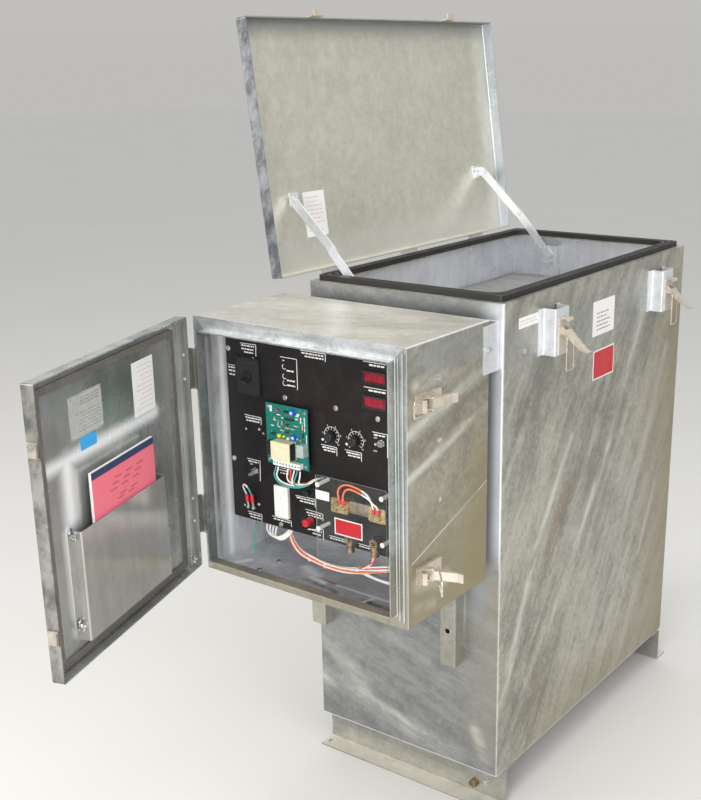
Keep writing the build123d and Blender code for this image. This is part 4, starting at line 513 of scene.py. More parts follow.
pink_print = plastic("pink_print", (0.5, 0.09, 0.13), 0.65, spread=0.1)
print_faint = plastic("print_faint", (0.62, 0.45, 0.44), 0.7, scale=500, spread=0.06)
print_grey = plastic("print_grey", (0.3, 0.3, 0.29), 0.6, scale=500, spread=0.1)
navy = plastic("navy_band", (0.03, 0.045, 0.11), 0.5)
sky = plastic("sky_sticker", (0.05, 0.36, 0.72), 0.45, spread=0.05)
red_label = plastic("red_label", (0.48, 0.008, 0.016), 0.35, scale=140, spread=0.08)
plate_metal = metal(
    "plate_metal", (0.6, 0.6, 0.57), (0.74, 0.73, 0.69), (0.35, 0.5), scale=70, metal_share=0.5
)


def clear_material(name, alpha, colour, rough):
    """Clear sheet with a smeared shine."""
    g = Graph(name, colour, rough)
    g.feed("Roughness", g.span(g.noise(30.0, 4.0), 0.3, 0.7, rough * 0.6, rough * 1.6))
    g.set("Alpha", alpha)
    g.set("IOR", 1.49)
    return g.material


cover_clear = clear_material("cover_clear", 0.02, (0.75, 0.8, 0.8), 0.06)
cover_edge = clear_material("cover_edge", 0.6, (0.55, 0.6, 0.58), 0.3)
window_red = plastic("window_red", (0.2, 0.012, 0.022), 0.16, scale=50, spread=0.25, coat=0.6)
figure_red = plastic("figure_red", (0.27, 0.014, 0.025), 0.2, spread=0.1, coat=0.5)


# Finishes on the nodes that come from the source
def dress(node, material, patches=()):
    """Gives a node its finish, and other finishes to the faces whose middle lies in a box."""
    mesh = nodes[node].data
    mesh.materials.clear()
    mesh.materials.append(material)
    for index, (other, low, high) in enumerate(patches, 1):
        mesh.materials.append(other)
        for polygon in mesh.polygons:
            middle = polygon.center * 1000 - SHIFT
            if all(l <= value <= h for l, value, h in zip(low, middle, high)):
                polygon.material_index = index


dress("tank_shell", tank_side, [
    (tank_front, (-246, -1, 89), (246, 1.0, 1148)),
    (tank_inner, (-243.5, 1.5, 91.5), (243.5, 878.5, 1143.5)),
])
dress("cabinet_box", cabinet_side, [
    (cabinet_top, (-290, -330, 1119), (240, -30, 1124)),
    (post_zinc, (-290, -337, 570), (240, -311, 1124)),
    (lip_zinc, (-260, -337, 1085), (205, -311, 1124)),
    (sill_zinc, (-260, -337, 570), (205, -311, 605)),
    (inner_zinc, (-286.5, -313, 577), (231.5, -35, 1121)),
    (frame_zinc, (-290, -35.5, 570), (240, -30, 1124)),
])
dress("lid", lid_zinc, [
    (edge_zinc, (-400, -46, 1100), (-200, -41.2, 1725)),
    (lid_rear_zinc, (-400, 921, 1100), (-200, 928, 1725)),
    (lip_zinc, (-400, -40, 1694), (-200, 921, 1725)),
])
dress("door", door_zinc, [
    (door_edge_zinc, (-200, -860, 585), (-90, -826, 1126)),
    (post_zinc, (-320, -826, 1118), (-90, -320, 1126)),
])
# The mounts' upper right ear takes the bright zinc as a painted reflection
dress("cabinet_mounts", mount_zinc, [(bright_zinc, (200, -60, 1000), (260, 2, 1130))])
dress("feet", foot_zinc, [(flange_zinc, (-300, -60, 2.4), (300, 940, 3.6))])
dress("bolts_and_screws", hardware, [(bronze, (158, 15, 18), (180, 40, 42))])
dress("control_bodies", moulded, [
    (hardware, (-225, -239, 770), (-205, -229, 796)),
    (hardware, (104, -239, 890), (124, -229, 916)),
])
dress("circuit_board", board_green, [
    (cream, (-142.5, -263, 831), (-92.5, -240.2, 872)),
    (moulded, (-161.5, -255, 836), (-146.5, -240.2, 867)),
    (relay_clear, (-80.5, -256, 844), (-61.5, -240.2, 872)),
    (white, (-147.5, -252, 815), (-75.5, -240.2, 829)),
    (blue_trim, (-103.5, -248, 926), (-92.5, -240.2, 938)),
    (blue_trim, (-101.5, -248, 874), (-90.5, -240.2, 886)),
])
dress("shunt", brass, [(blade_metal, (45, -260, 740), (93, -229, 780))])
dress("clear_cover", cover_clear, [
    (cover_edge, (-29, -263, 644), (-27, -258, 822)),
    (cover_edge, (145, -263, 644), (147, -258, 822)),
    (cover_edge, (-29, -263, 644), (147, -258, 646)),
    (cover_edge, (-29, -263, 820), (147, -258, 822)),
])
for finish, *names in (
    (frame_zinc, "lid_hinge_brackets", "deck_rack", "door_hinge_frames", "panel_angles"),
    (bright_zinc, "latch_hats", "lid_hinge_leaves", "door_hinge_leaves", "stay_tank_brackets"),
    (bright_zinc, "stay_lid_brackets", "stay_lower_front", "stay_upper_front", "stay_lower_rear"),
    (bright_zinc, "stay_upper_rear"),
    (hardware, "hinge_pins", "toggle_left", "toggle_right", "cable_nipple"),
    (tan_zinc, "lid_latch_handle_front", "lid_latch_handle_rear", "latch_bases", "lid_keepers"),
    (tan_zinc, "door_latch_handle_upper", "door_latch_handle_lower"),
    (wire_zinc, "lid_latch_bail_front", "lid_latch_bail_rear"),
    (wire_zinc, "door_latch_bail_upper", "door_latch_bail_lower"),
    (moulded, "panel_modules", "breaker_handle", "dial_coarse", "dial_fine", "fuse_cap_black"),
    (white, "cover_posts", "terminal_strips"), (keeper_zinc, "door_keepers"),
    (pocket_zinc, "document_pocket"), (rim_rubber, "tank_gasket"), (door_rubber, "door_gasket"),
    (panel_black, "instrument_panel"),
    (red_gloss, "fuse_cap_red"), (bronze, "output_terminals"), (laminate, "transformer_core"),
    (varnish, "transformer_coils"), (aluminium, "rectifier_stack"), (paper_white, "manual"),
):
    for name in names:
        dress(name, finish)


# Pieces made here
def shown(name, data):
    """Puts a new object into the scene."""
    made = bpy.data.objects.new(name, data)
    bpy.context.scene.collection.objects.link(made)
    return made


def around(middle, half):
    """The stretch that reaches as far to either side of a middle."""
    return middle - half, middle + half


def piece(name, mesh_data, materials, body="housing", smooth=False):
    """Turns a bmesh into a piece that rides on a body."""
    mesh = bpy.data.meshes.new(name)
    bmesh.ops.recalc_face_normals(mesh_data, faces=mesh_data.faces)
    mesh_data.to_mesh(mesh)
    mesh_data.free()
    for material in materials:
        mesh.materials.append(material)
    if smooth:
        mesh.polygons.foreach_set("use_smooth", [True] * len(mesh.polygons))
        mesh.set_sharp_from_angle(angle=radians(38))
    made = shown(name, mesh)
    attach(made, body)


def card(bm, face, a, b, off, radius=1.0, index=0, steps=3):
    """Thin plate with round corners on a face, from one distance off it to another."""
    corners = []
    radius = min(radius, (a[1] - a[0]) / 2.01, (b[1] - b[0]) / 2.01)
    for centre_a, centre_b, start in (
        (a[1] - radius, b[1] - radius, 0), (a[0] + radius, b[1] - radius, 90),
        (a[0] + radius, b[0] + radius, 180), (a[1] - radius, b[0] + radius, 270),
    ):
        for step in range(steps + 1):
            turn = radians(start + 90 * step / steps)
            corners.append((centre_a + radius * cos(turn), centre_b + radius * sin(turn)))
    low = [bm.verts.new(face.point(x, y, off[0])) for x, y in corners]
    high = [bm.verts.new(face.point(x, y, off[1])) for x, y in corners]
    made = [bm.faces.new(high), bm.faces.new(low[::-1])]
    for i in range(len(corners)):
        j = (i + 1) % len(corners)
        made.append(bm.faces.new((low[i], low[j], high[j], high[i])))
    for new in made:
        new.material_index = index


def rod(bm, start, end, radius, index=0, sides=16, tip=None):
    """Round bar between two points of the frame, its ends rounded off; radius and tip in millimetres."""
    radius, tip = radius / 1000, (radius if tip is None else tip) / 1000
    run = end - start
    turn = run.to_track_quat("Z", "Y").to_matrix().to_4x4()
    rings = []
    soft = min(0.35 * min(radius, tip), run.length / 4)
    for along, size in (
        (0, radius - soft), (soft, radius), (run.length - soft, tip), (run.length, tip - soft)
    ):
        place = Matrix.Translation(start) @ turn @ Matrix.Translation((0, 0, along))
        ring = []
        for side in range(sides):
            angle = 2 * pi * side / sides
            ring.append(bm.verts.new(place @ Vector((size * cos(angle), size * sin(angle), 0))))
        rings.append(ring)
    made = [bm.faces.new(rings[0][::-1]), bm.faces.new(rings[-1])]
    for low, high in zip(rings, rings[1:]):
        for i in range(sides):
            j = (i + 1) % sides
            made.append(bm.faces.new((low[i], low[j], high[j], high[i])))
    for new in made:
        new.material_index = index


def stud(bm, face, a, b, off, radius, index=0, sides=16, tip=None):
    """Round bar square to a face, from one distance off it to another."""
    rod(bm, face.point(a, b, off[0]), face.point(a, b, off[1]), radius, index, sides, tip)


def blob(bm, centre, radius, share, out):
    """Uneven rounded lump, flattened to a share of its height along one direction."""
    made = bmesh.ops.create_icosphere(bm, subdivisions=2, radius=radius / 1000)
    turn = out.to_track_quat("Z", "Y").to_matrix().to_4x4()
    for vert in made["verts"]:
        vert.co *= 1 + random.uniform(-0.25, 0.25)
        vert.co.z *= share
        vert.co = Matrix.Translation(centre) @ turn @ vert.co


def wire(name, points, radius, material):
    """One insulated lead along a smooth line."""
    curve = bpy.data.curves.new(name, "CURVE")
    curve.dimensions = "3D"
    curve.bevel_depth = radius / 1000
    curve.bevel_resolution = 3
    curve.resolution_u = 8
    curve.use_fill_caps = True
    line = curve.splines.new("NURBS")
    line.points.add(len(points) - 1)
    for point, target in zip(line.points, points):
        point.co = (*at(*target), 1.0)
    line.order_u = 3
    line.use_endpoint_u = True
    curve.materials.append(material)
    made = shown(name, curve)
    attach(made, "housing")
    return made


# Panel legends: bracket lines with plain bars where the lines of print stand
BRACKETS = (
    ((-243, 1054), (-200, 1055), (-201, 1031)), ((-281, 1004), (-253, 1004), (-253, 970)),
    ((-136, 1039.5), (-93, 1039.5), (-93, 977)), ((-83, 1060), (-19, 1060), (-20, 1044)),
    ((72, 1059), (126, 1059), None), ((73, 1009), (126, 1009), None),
    ((-241, 902), (-195, 902), (-195, 886)), ((-37, 873.5), (3, 873.5), (3, 856)),
    ((23, 873.5), (64, 873.5), (64, 856)), ((91, 922), (127, 922), (127, 875)),
    ((-239, 806), (-203, 806), (-205, 761)), ((-154, 803), (-121, 803), (-121, 785)),
    ((-109, 750), (-57, 752), (-57, 734)), ((-84, 725), (-38, 724), (-38, 709)),
    ((-80, 681), (-38, 690), (-38, 667)), ((-176, 690), (-124, 689.5), (-123, 677)),
    ((-245, 686), (-205, 686), (-206, 669)), ((-22, 681), (21, 681), None),
    ((52, 681), (84, 681), None),
)
PRINT = (
    (-240, -205, 1050, 3), (-240, -207, 1043, 3), (-233, -208, 1036.5, 3),
    (-279, -257, 999, 3), (-279, -259, 992, 3), (-277, -262, 984, 3),
    (-130, -124, 1033, 2), (-120, -99, 1013, 3), (-120, -99, 993, 3), (-120, -99, 983, 3),
    (-80, -24, 1055, 3), (-72, -24, 1049, 3),
    (86, 124, 1053.5, 3.4), (84, 124, 1003.5, 3.4),
    (-238, -198, 897, 3), (-236, -199, 891, 3),
    (-34, 0, 869, 2.8), (-30, 0, 863.5, 2.8), (27, 61, 869, 2.8), (31, 61, 863.5, 2.8),
    (95, 124, 917, 2.8), (-236, -208, 801, 2.8),
    (-150, -124, 798, 2.8), (-148, -124, 792, 2.8),
    (-106, -60, 746.5, 2.8), (-98, -60, 740.5, 2.8),
    (-81, -41, 719, 2.8), (-77, -41, 713.5, 2.8), (-76, -42, 683, 2.6), (-66, -42, 676, 2.6),
    (-172, -127, 685, 2.6), (-242, -209, 681, 2.6), (-238, -209, 675, 2.6),
    (-20, 19, 676.5, 2.6), (54, 82, 676.5, 2.6),
)


def rule(bm, face, start, end, thick, off=(0.0, 0.25), index=0):
    """A printed line between two points of a face."""
    (a0, b0), (a1, b1) = start, end
    tilted = Face(face.origin, face.across, face.up, face.out)
    tilted.origin = face.origin + face.across * a0 + face.up * b0
    run = Vector((a1 - a0, b1 - b0))
    tilted.across = (face.across * run.x + face.up * run.y) / run.length
    tilted.up = face.out.cross(tilted.across)
    card(bm, tilted, (0, run.length), (-thick / 2, thick / 2), off, radius=0.3, index=index, steps=1)


bm = bmesh.new()
for first, corner, last in BRACKETS:
    rule(bm, PANEL, first, corner, 1.3)
    if last:
        rule(bm, PANEL, corner, last, 1.6)
for left, right, height, size in PRINT:
    place = left
    while place < right - 2:
        word = min(random.uniform(4.5, 11.0), right - place)
        card(bm, PANEL, (place, place + word), around(height, size / 2), (0.0, 0.2), 0.5, steps=1)
        place += word + 1.6
piece("panel_legends", bm, [ink])


def on_ring(centre, radius, degrees):
    """A place of the panel on a ring round a centre."""
    turn = radians(degrees)
    return centre[0] + radius * cos(turn), centre[1] + radius * sin(turn)


# Selector list: three small arcs, open to their lines of print
bm = bmesh.new()
for height in (1020, 1000, 986):
    centre = (-126, height)
    for start in range(110, 320, 30):
        rule(bm, PANEL, on_ring(centre, 5, start), on_ring(centre, 5, start + 30), 1.3)
piece("panel_selector_marks", bm, [ink])

# Dial scales: an arc, ticks and numbers, clockwise from the lower left; angles in degrees
DIALS = ((-9, 896), (51, 897))
DIAL_START, DIAL_TICK, DIAL_CHORD = 225, 27, 5
ARC_RADIUS, TICK_INNER, TICK_OUTER, FIGURE_RADIUS = 18.5, 12.5, 18, 22.5
bm = bmesh.new()
for dial in DIALS:
    for turned in range(0, 10 * DIAL_TICK, DIAL_CHORD):
        start = on_ring(dial, ARC_RADIUS, DIAL_START - turned)
        rule(bm, PANEL, start, on_ring(dial, ARC_RADIUS, DIAL_START - turned - DIAL_CHORD), 1.0)
    for step in range(11):
        angle = DIAL_START - DIAL_TICK * step
        rule(bm, PANEL, on_ring(dial, TICK_INNER, angle), on_ring(dial, TICK_OUTER, angle), 0.9)
    card(bm, PANEL, (dial[0] - 26, dial[0] - 20), (dial[1] - 14, dial[1] - 9), (0.0, 0.2), 2.5)
piece("dial_scales", bm, [ink])


def number(name, text, x, z, size):
    """A small printed figure on the panel."""
    curve = bpy.data.curves.new(name, "FONT")
    curve.body = text
    curve.size = size / 1000
    curve.align_x = "CENTER"
    curve.align_y = "CENTER"
    curve.extrude = 0.0001
    curve.materials.append(ink)
    made = shown(name, curve)
    made.matrix_world = Matrix.Translation(PANEL.point(x, z, 0.15)) @ Matrix.Rotation(radians(90), 4, "X")
    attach(made, "housing")


for dial, centre in enumerate(DIALS):
    for step in range(0, 11, 2):
        place = on_ring(centre, FIGURE_RADIUS, DIAL_START - DIAL_TICK * step)
        number(f"dial_{dial}_figure_{step}", str(step), *place, 5)
for switch, on_at, off_at, size in (
    ("breaker", (-222, 1019), (-222, 959.5), 6), ("toggle_left", (-228, 795), (-229, 771), 5),
    ("toggle_right", (98, 911), (98, 884), 5),
):
    number(f"{switch}_on", "ON", *on_at, size)
    number(f"{switch}_off", "OFF", *off_at, size)

# Small round heads that dot the panel
bm = bmesh.new()
for x, z, r in (
    (-236, 1024, 3.6), (-209, 1026, 3.6), (-236, 953, 3.6), (-209, 952, 3.6), (-238, 871, 3.2),
    (-201, 876, 3.2), (-190, 869, 3.2), (-150, 676.5, 3.0), (128, 700, 4.0), (-252, 698, 3.0),
    (-212, 708, 3.6),
):
    stud(bm, PANEL, x, z, (0, 2.4), r, sides=18, tip=r * 0.7)
piece("panel_rivets", bm, [hardware], smooth=True)

# Meter windows, each with three dark figures
METERS = ((99, 1029.5), (99, 980.5))
bm = bmesh.new()
for x, z in METERS:
    card(bm, PANEL, around(x, 24.6), around(z, 9.1), (1.02, 1.9), 1.2)
    for step in range(3):
        card(bm, PANEL, around(x - 12 + 13 * step, 4), around(z, 6.4), (1.9, 2.0), 1.0, index=1)
piece("meter_windows", bm, [window_red, figure_red])

# Breaker face: raised border and a grip line
bm = bmesh.new()
for a, b in (
    ((-254, -252.5), (950, 1025)), ((-191.5, -190), (950, 1025)),
    ((-254, -190), (1023.5, 1025)), ((-254, -190), (950, 951.5)),
):
    card(bm, PANEL, a, b, (5.5, 7.0), 0.7)
for z in (966, 1009):
    card(bm, PANEL, (-240, -204), around(z, 1.5), (5.5, 6.8), 1.4)
piece("breaker_trim", bm, [moulded])

# Small parts on the circuit board
board_parts = [red_gloss, moulded, tan_part, yellow_part, solder, ink, cream]
RED, BLACK, TAN, YELLOW, TIN, INK, CREAM = range(len(board_parts))


def lying(x, z, length, radius, colour, upright=False):
    """Round part lying on the board between two leads."""
    across, up = (0, length / 2) if upright else (length / 2, 0)
    lead_across, lead_up = (across + 3 * bool(across), up + 3 * bool(up))
    ends = [BOARD.point(x + sign * across, z + sign * up, radius + 0.6) for sign in (-1, 1)]
    rod(bm, ends[0], ends[1], radius, colour, sides=12)
    for sign, end in zip((-1, 1), ends):
        rod(bm, end, BOARD.point(x + sign * lead_across, z + sign * lead_up), 0.4, TIN, sides=6)


bm = bmesh.new()
for part in (
    (-113, 931, 15, 2.6, BLACK), (-90, 905, 10, 1.5, TAN), (-113, 904, 9, 1.6, BLACK),
    (-113, 897, 9, 1.6, TAN), (-127, 905, 8, 1.3, TAN, True), (-137, 902, 8, 1.3, TAN, True),
    (-127, 890, 8, 1.6, TAN),
    (-113, 888, 10, 1.8, BLACK), (-100, 897, 9, 1.4, TAN), (-146, 912, 8, 1.3, TAN, True),
    (-73, 905, 12, 1.3, TAN, True), (-73, 888, 10, 1.3, BLACK, True), (-150, 880, 11, 2.4, BLACK),
):
    lying(*part)
for x, z, radius, height, colour in (
    (-137, 932, 2.6, 7, RED), (-134, 878, 4.2, 7, YELLOW), (-122, 878, 2.6, 6, YELLOW),
    (-98, 932, 3.2, 8.4, INK), (-96, 880, 3.2, 8.4, INK), (-110, 876, 3.4, 7, CREAM),
    (-82, 930, 3.0, 6, CREAM), (-84, 880, 2.6, 8, TIN), (-76, 878, 2.6, 8, TIN),
):
    stud(bm, BOARD, x, z, (0, height), radius, colour)
for leg in range(8):
    card(bm, BOARD, (-118 + 2.5 * leg, -116.8 + 2.5 * leg), (912, 920), (0.0, 1.6), 0.4, TIN, 1)
card(bm, BOARD, (-119, -97), (913.5, 918.5), (0.8, 3.6), 0.6, BLACK)
for x, z in ((-164, 935), (-68, 935), (-164, 822), (-68, 822)):
    stud(bm, BOARD, x, z, (0, 2.6), 3.6, TIN)
for _ in range(26):
    stud(bm, BOARD, random.uniform(-166, -64), random.uniform(876, 938), (0, 0.5), 1.1, TIN, 8)
for left, right, low, high in (
    (-142, -132, 920, 922), (-130, -124, 915, 917), (-160, -154, 925, 938), (-70, -68, 896, 926),
    (-140, -133, 895, 897), (-158, -150, 895, 897), (-93, -86, 918, 920), (-92, -84, 924, 926),
    (-152, -142, 908, 909.5), (-80, -77, 912, 924), (-66, -64, 850, 890),
):
    card(bm, BOARD, (left, right), (low, high), (0.0, 0.25), 0.4, INK, 1)
for x in range(-143, -78, 8):
    card(bm, BOARD, around(x, 2.4), (813.2, 816), (2, 9), 0.5, BLACK, 1)
    stud(bm, BOARD, x, 822, (10.8, 12.2), 2.2, TIN, 10)
piece("board_parts", bm, board_parts, smooth=True)

# Transformer on the board: laminations round the cream bobbin, and its windings' tape
bm = bmesh.new()
card(bm, BOARD, (-107, -92.6), (833, 870), (4, 20), 1.0, 1)
for left in (-134, -104):
    card(bm, BOARD, (left, left + 3), (831.6, 871.4), (0, 22.4), 1.0, 0)
piece("board_transformer_trim", bm, [cream, laminate])

# Leads from the board's connector to the panel
for index, (x, material, low, forward) in enumerate((
    (-143, wire_teal, 781, -257), (-137, wire_white, 785, -256), (-111, wire_white, 788, -253),
    (-103, wire_red, 790, -252), (-95, wire_white, 789, -255), (-87, wire_teal, 787, -258),
    (-79, wire_white, 791, -251),
)):
    lag = 1.8 * (index % 3)
    wire(f"board_lead_{index}", [
        (x, -246, 816), (x, -247, 808), (x + 1, forward, 796), (x * 0.7 - 26, forward - 1, low - 1),
        (-92 + 3 * index, forward + 2, low - 4), (-64 + 2 * index, -252 + lag, low + 3),
        (-48, -249 + lag, 796 + lag), (-40 + lag, -244, 802 + lag), (-37 + lag, -234, 803),
        (-37 + lag, -229.4, 803),
    ], 1.7, material)
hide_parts("board_loom")

# Main loom: separate leads from behind the white strip, tied and swung under the panel
loom_colours = (
    wire_orange, wire_white, wire_orange, wire_white, wire_red, wire_white, wire_orange, wire_white
)
route = (
    (-144, -212, 694), (-144, -212, 664), (-118, -232, 646), (-84, -246, 634), (-54, -251, 630),
    (-16, -253, 626), (24, -252, 627), (62, -250, 632), (105, -247, 642), (150, -238, 653), (185, -214, 657),
    (185, -212, 677),
)
for index, material in enumerate(loom_colours):
    turn = 2 * pi * index / len(loom_colours)
    spread = 5.0 if index else 0.0
    points = []
    for step, (x, y, z) in enumerate(route):
        reach = spread * (1.0 + 0.35 * sin(step * 1.7 + index))
        points.append((x, y + reach * cos(turn + step * 0.25), z + reach * sin(turn + step * 0.25)))
    for end in (0, -1):
        x, y, z = route[end]
        points[end] = (x + 3 * cos(turn), y + 3 * sin(turn), z)
    wire(f"loom_lead_{index}", points, 1.9, material)
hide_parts("main_loom")
bm = bmesh.new()
for start, end in (
    ((-58, -251, 630.4), (-53, -251.4, 629.6)), ((64, -250, 632.6), (69, -249.6, 633.6)),
    ((-16, -253, 626), (-12, -253, 626)),
):
    rod(bm, at(*start), at(*end), 6.8, sides=20)
piece("loom_ties", bm, [white], smooth=True)

# Leads from the loom to the positive terminal, from under the strip and along the sill
wire("terminal_lead", [
    (55, -251, 631), (75, -250, 640), (90, -246, 650), (100, -242, 658), (102, -241, 666), (102, -241, 674),
], 2.0, wire_red)
wire("terminal_lead_pale", [
    (40, -252, 628), (66, -252, 634), (84, -249, 643), (95, -244, 652), (98, -242, 660), (98.5, -241, 674),
], 1.8, wire_white)
for index in range(4):
    wire(f"strip_lead_{index}", [
        (-196 + 9 * index, -219, 672), (-196 + 9 * index, -224, 664), (-190 + 8 * index, -232, 655),
        (-172 + 5 * index, -240, 649 - index), (-150 + 4 * index, -240, 650 - index),
        (-136 + 3 * index, -228, 660), (-134 + 3 * index, -215, 672),
    ], 2.0, wire_white)
wire("teal_drop", [
    (-228, -222, 668), (-229, -226, 650), (-230, -231, 628), (-226, -236, 606), (-219, -240, 592),
], 1.5, wire_teal)
wire("pale_side_lead", [
    (79, -250, 634), (104, -252, 628), (140, -252, 627), (172, -250, 629), (205, -246, 631),
    (226, -240, 632),
], 1.8, wire_white)
wire("pale_side_lead_2", [
    (70, -249, 630), (104, -247, 623), (140, -246, 621), (172, -244, 622), (205, -240, 623),
    (226, -236, 624),
], 1.8, wire_white)

# Jumper beside the toggle with its red ferrules and studs
wire("jumper_white", [
    (-239, -236, 727), (-242, -240, 738), (-241, -245, 750), (-232, -247, 755), (-227, -246, 748),
], 1.7, wire_white)
wire("jumper_teal", [
    (-227, -246, 748), (-223, -245, 743), (-224, -241, 736), (-225, -236, 728),
], 1.9, wire_teal)
bm = bmesh.new()
for x in (-239, -225):
    rod(bm, at(x, -236, 729), at(x + 1, -235, 711), 4.2, 0)
    rod(bm, at(x + 1, -235, 712), at(x + 1, -233, 700), 2.4, 1)
    rod(bm, at(x + 1, -229, 698), at(x + 1, -237, 698), 3.6, 1)
piece("jumper_ferrules", bm, [red_gloss, hardware], smooth=True)

# Sense leads that arch between the shunt's blocks
for index, lift in enumerate((0, -8)):
    shift = 12 * index
    wire(f"sense_red_{index}", [
        (24 + shift, -251, 771), (22 + shift, -254, 786 + lift), (26 + shift, -256, 802 + lift),
        (42 + shift / 2, -257, 813 + lift), (66, -257, 813 + lift), (84, -257, 808 + lift),
    ], 2.0, wire_orange)
    wire(f"sense_white_{index}", [
        (84, -257, 808 + lift), (97 + shift / 3, -257, 803 + lift), (104 + shift / 2, -256, 793 + lift),
        (107 + shift, -253, 780), (108 + shift, -251, 768),
    ], 2.0, wire_white)
bm = bmesh.new()
for x, z in ((24, 771), (36, 771), (108, 768), (120, 768)):
    rod(bm, at(x, -251, z + 6), at(x, -252, z - 5), 3.8, 0)
for x, z in ((14, 764), (34, 759), (104, 759), (122, 756)):
    rod(bm, at(x, -250, z), at(x, -254.5, z), 5.6, 1, sides=6)
    rod(bm, at(x, -254, z), at(x, -257, z), 3, 1)
for x, z in ((8, 751), (100, 753)):
    rod(bm, at(x, -250, z), at(x, -252.5, z), 3, 1)
piece("shunt_hardware", bm, [red_gloss, brass], smooth=True)

# Loop of thin lead by the terminals, and dots on the white strip
wire("thin_loop", [
    (-60, -236, 776), (-50, -238, 780), (-41, -240, 774), (-40, -238, 764), (-44, -235, 758),
], 1.0, wire_dark)
bm = bmesh.new()
for x, z in ((-144, 738), (-136, 752), (-152, 706)):
    rod(bm, at(x, -234.9, z), at(x, -235.3, z), 1.2, sides=10)
piece("strip_marks", bm, [print_grey])

# Labels on the clear cover, one of them red on white
bm = bmesh.new()
card(bm, COVER, (-27.5, 7), (771, 790), (0.0, 0.3), 1.0)
card(bm, COVER, (19, 88), (706, 741), (0.0, 0.3), 1.0)
card(bm, COVER, (21.5, 85.5), (708.5, 738.5), (0.3, 0.45), 0.8, 1)
piece("cover_labels", bm, [paper_white, red_label])


def printed(bm, face, a, b, off, rows, index, size=2.2, inset=5, ragged=0.25):
    """Rows of plain print bars on a label."""
    step = (b[1] - b[0] - 2 * inset) / rows
    for row in range(rows):
        height = b[1] - inset - step * (row + 0.5)
        place = a[0] + inset
        stop = a[1] - inset - random.uniform(0, ragged) * (a[1] - a[0])
        while place < stop - 3:
            word = min(random.uniform(6, 18), stop - place)
            card(bm, face, (place, place + word), around(height, size / 2), off, 0.6, index, 1)
            place += word + 2.5


# Labels on the tank's side
bm = bmesh.new()
card(bm, TANK_SIDE, (56, 135), (1087, 1109), (0.0, 0.3), 1.5, 0)
printed(bm, TANK_SIDE, (56, 135), (1087, 1109), (0.3, 0.38), 2, 1, 2.0, 5, 0.05)
card(bm, TANK_SIDE, (383, 490), (1007, 1086), (0.0, 0.3), 1.5, 0)
printed(bm, TANK_SIDE, (398, 475), (1012, 1066), (0.3, 0.38), 5, 2, 3.0, 4, 0.3)
card(bm, TANK_SIDE, (393, 497), (905, 973), (0.0, 0.3), 1.5, 0)
card(bm, TANK_SIDE, (396, 494), (908, 970), (0.3, 0.45), 1.5, 3)
piece("tank_side_labels", bm, [paper_white, print_faint, print_grey, red_label])

# Metal plate inside the door, with a thin frame, plain bars and four rivets
bm = bmesh.new()
plate_print = (DOOR_SKIN + 0.8, DOOR_SKIN + 0.95)
card(bm, DOOR, (298, 403), (985, 1062), (DOOR_SKIN, DOOR_SKIN + 0.8), 2.0, 0)
for left, right, low, high in (
    (299.5, 401.5, 1060, 1060.8), (299.5, 401.5, 986.2, 987), (299.5, 300.3, 987, 1060),
    (400.7, 401.5, 987, 1060),
):
    card(bm, DOOR, (left, right), (low, high), plate_print, 0.3, 1, 1)
printed(bm, DOOR, (302, 399), (1036, 1060), plate_print, 3, 1, 2.6, 4, 0.25)
printed(bm, DOOR, (302, 399), (990, 1034), plate_print, 6, 1, 1.6, 3, 0.35)
for along in (302.5, 398.5):
    for height in (1057.5, 989.5):
        stud(bm, DOOR, along, height, (DOOR_SKIN + 0.6, DOOR_SKIN + 1.8), 2, 2, sides=12)
piece("door_nameplate", bm, [plate_metal, print_grey, hardware], "door")

# Stickers inside the door
on_skin = (DOOR_SKIN, DOOR_SKIN + 0.4)
bm = bmesh.new()
card(bm, DOOR, (324, 377), (960, 984), on_skin, 1.5, 0)
card(bm, DOOR, (107, 187), (965, 1070), on_skin, 1.5, 1)
printed(bm, DOOR, (107, 187), (965, 1070), (DOOR_SKIN + 0.4, DOOR_SKIN + 0.5), 10, 2, 1.6, 7, 0.3)
piece("door_labels", bm, [sky, paper_white, print_faint], "door")

# The booklet's cover, with a dark band and plain bars
front = DOOR.reach("manual")
bm = bmesh.new()
card(bm, DOOR, (156.5, 379.5), (823, 907.5), (front, front + 0.5), 1.0, 0)
card(bm, DOOR, (156.5, 379.5), (908, 920.8), (front, front + 0.9), 1.0, 1)
for row, height in enumerate((888, 878, 868, 852, 846)):
    for word in range(3 if row < 3 else 2):
        left = 200 + 9 * row + 40 * word
        card(bm, DOOR, (left, left + 24), around(height, 1.5), (front + 0.5, front + 0.55), 0.8, 2, 1)
piece("manual_cover", bm, [paper_pink, navy, pink_print], "door")

# Sticker inside the lid
bm = bmesh.new()
card(bm, LID, (93, 168), (73, 173), (LID_SKIN, LID_SKIN + 0.4), 1.5, 0)
printed(bm, LID, (93, 168), (73, 173), (LID_SKIN + 0.4, LID_SKIN + 0.5), 9, 1, 1.8, 8, 0.3)
piece("lid_label", bm, [paper_white, print_faint], "lid")

# Tack welds beside the pocket and low on the door's hinge edge
bm = bmesh.new()
for z, spread in ((829, 8), (656, 6)):
    for _ in range(9):
        away = random.uniform(1.5, 15)
        point = DOOR.point(434 + random.uniform(0, 9), z + random.uniform(-spread, spread), DOOR_SKIN + away)
        blob(bm, point, random.uniform(3, 5.6), 0.6, DOOR.out)
for z in (604, 608, 612):
    blob(bm, DOOR.point(12 + random.uniform(-1, 8), z, -7), 4.5, 0.7, DOOR.out)
piece("weld_blobs", bm, [solder], "door", smooth=True)

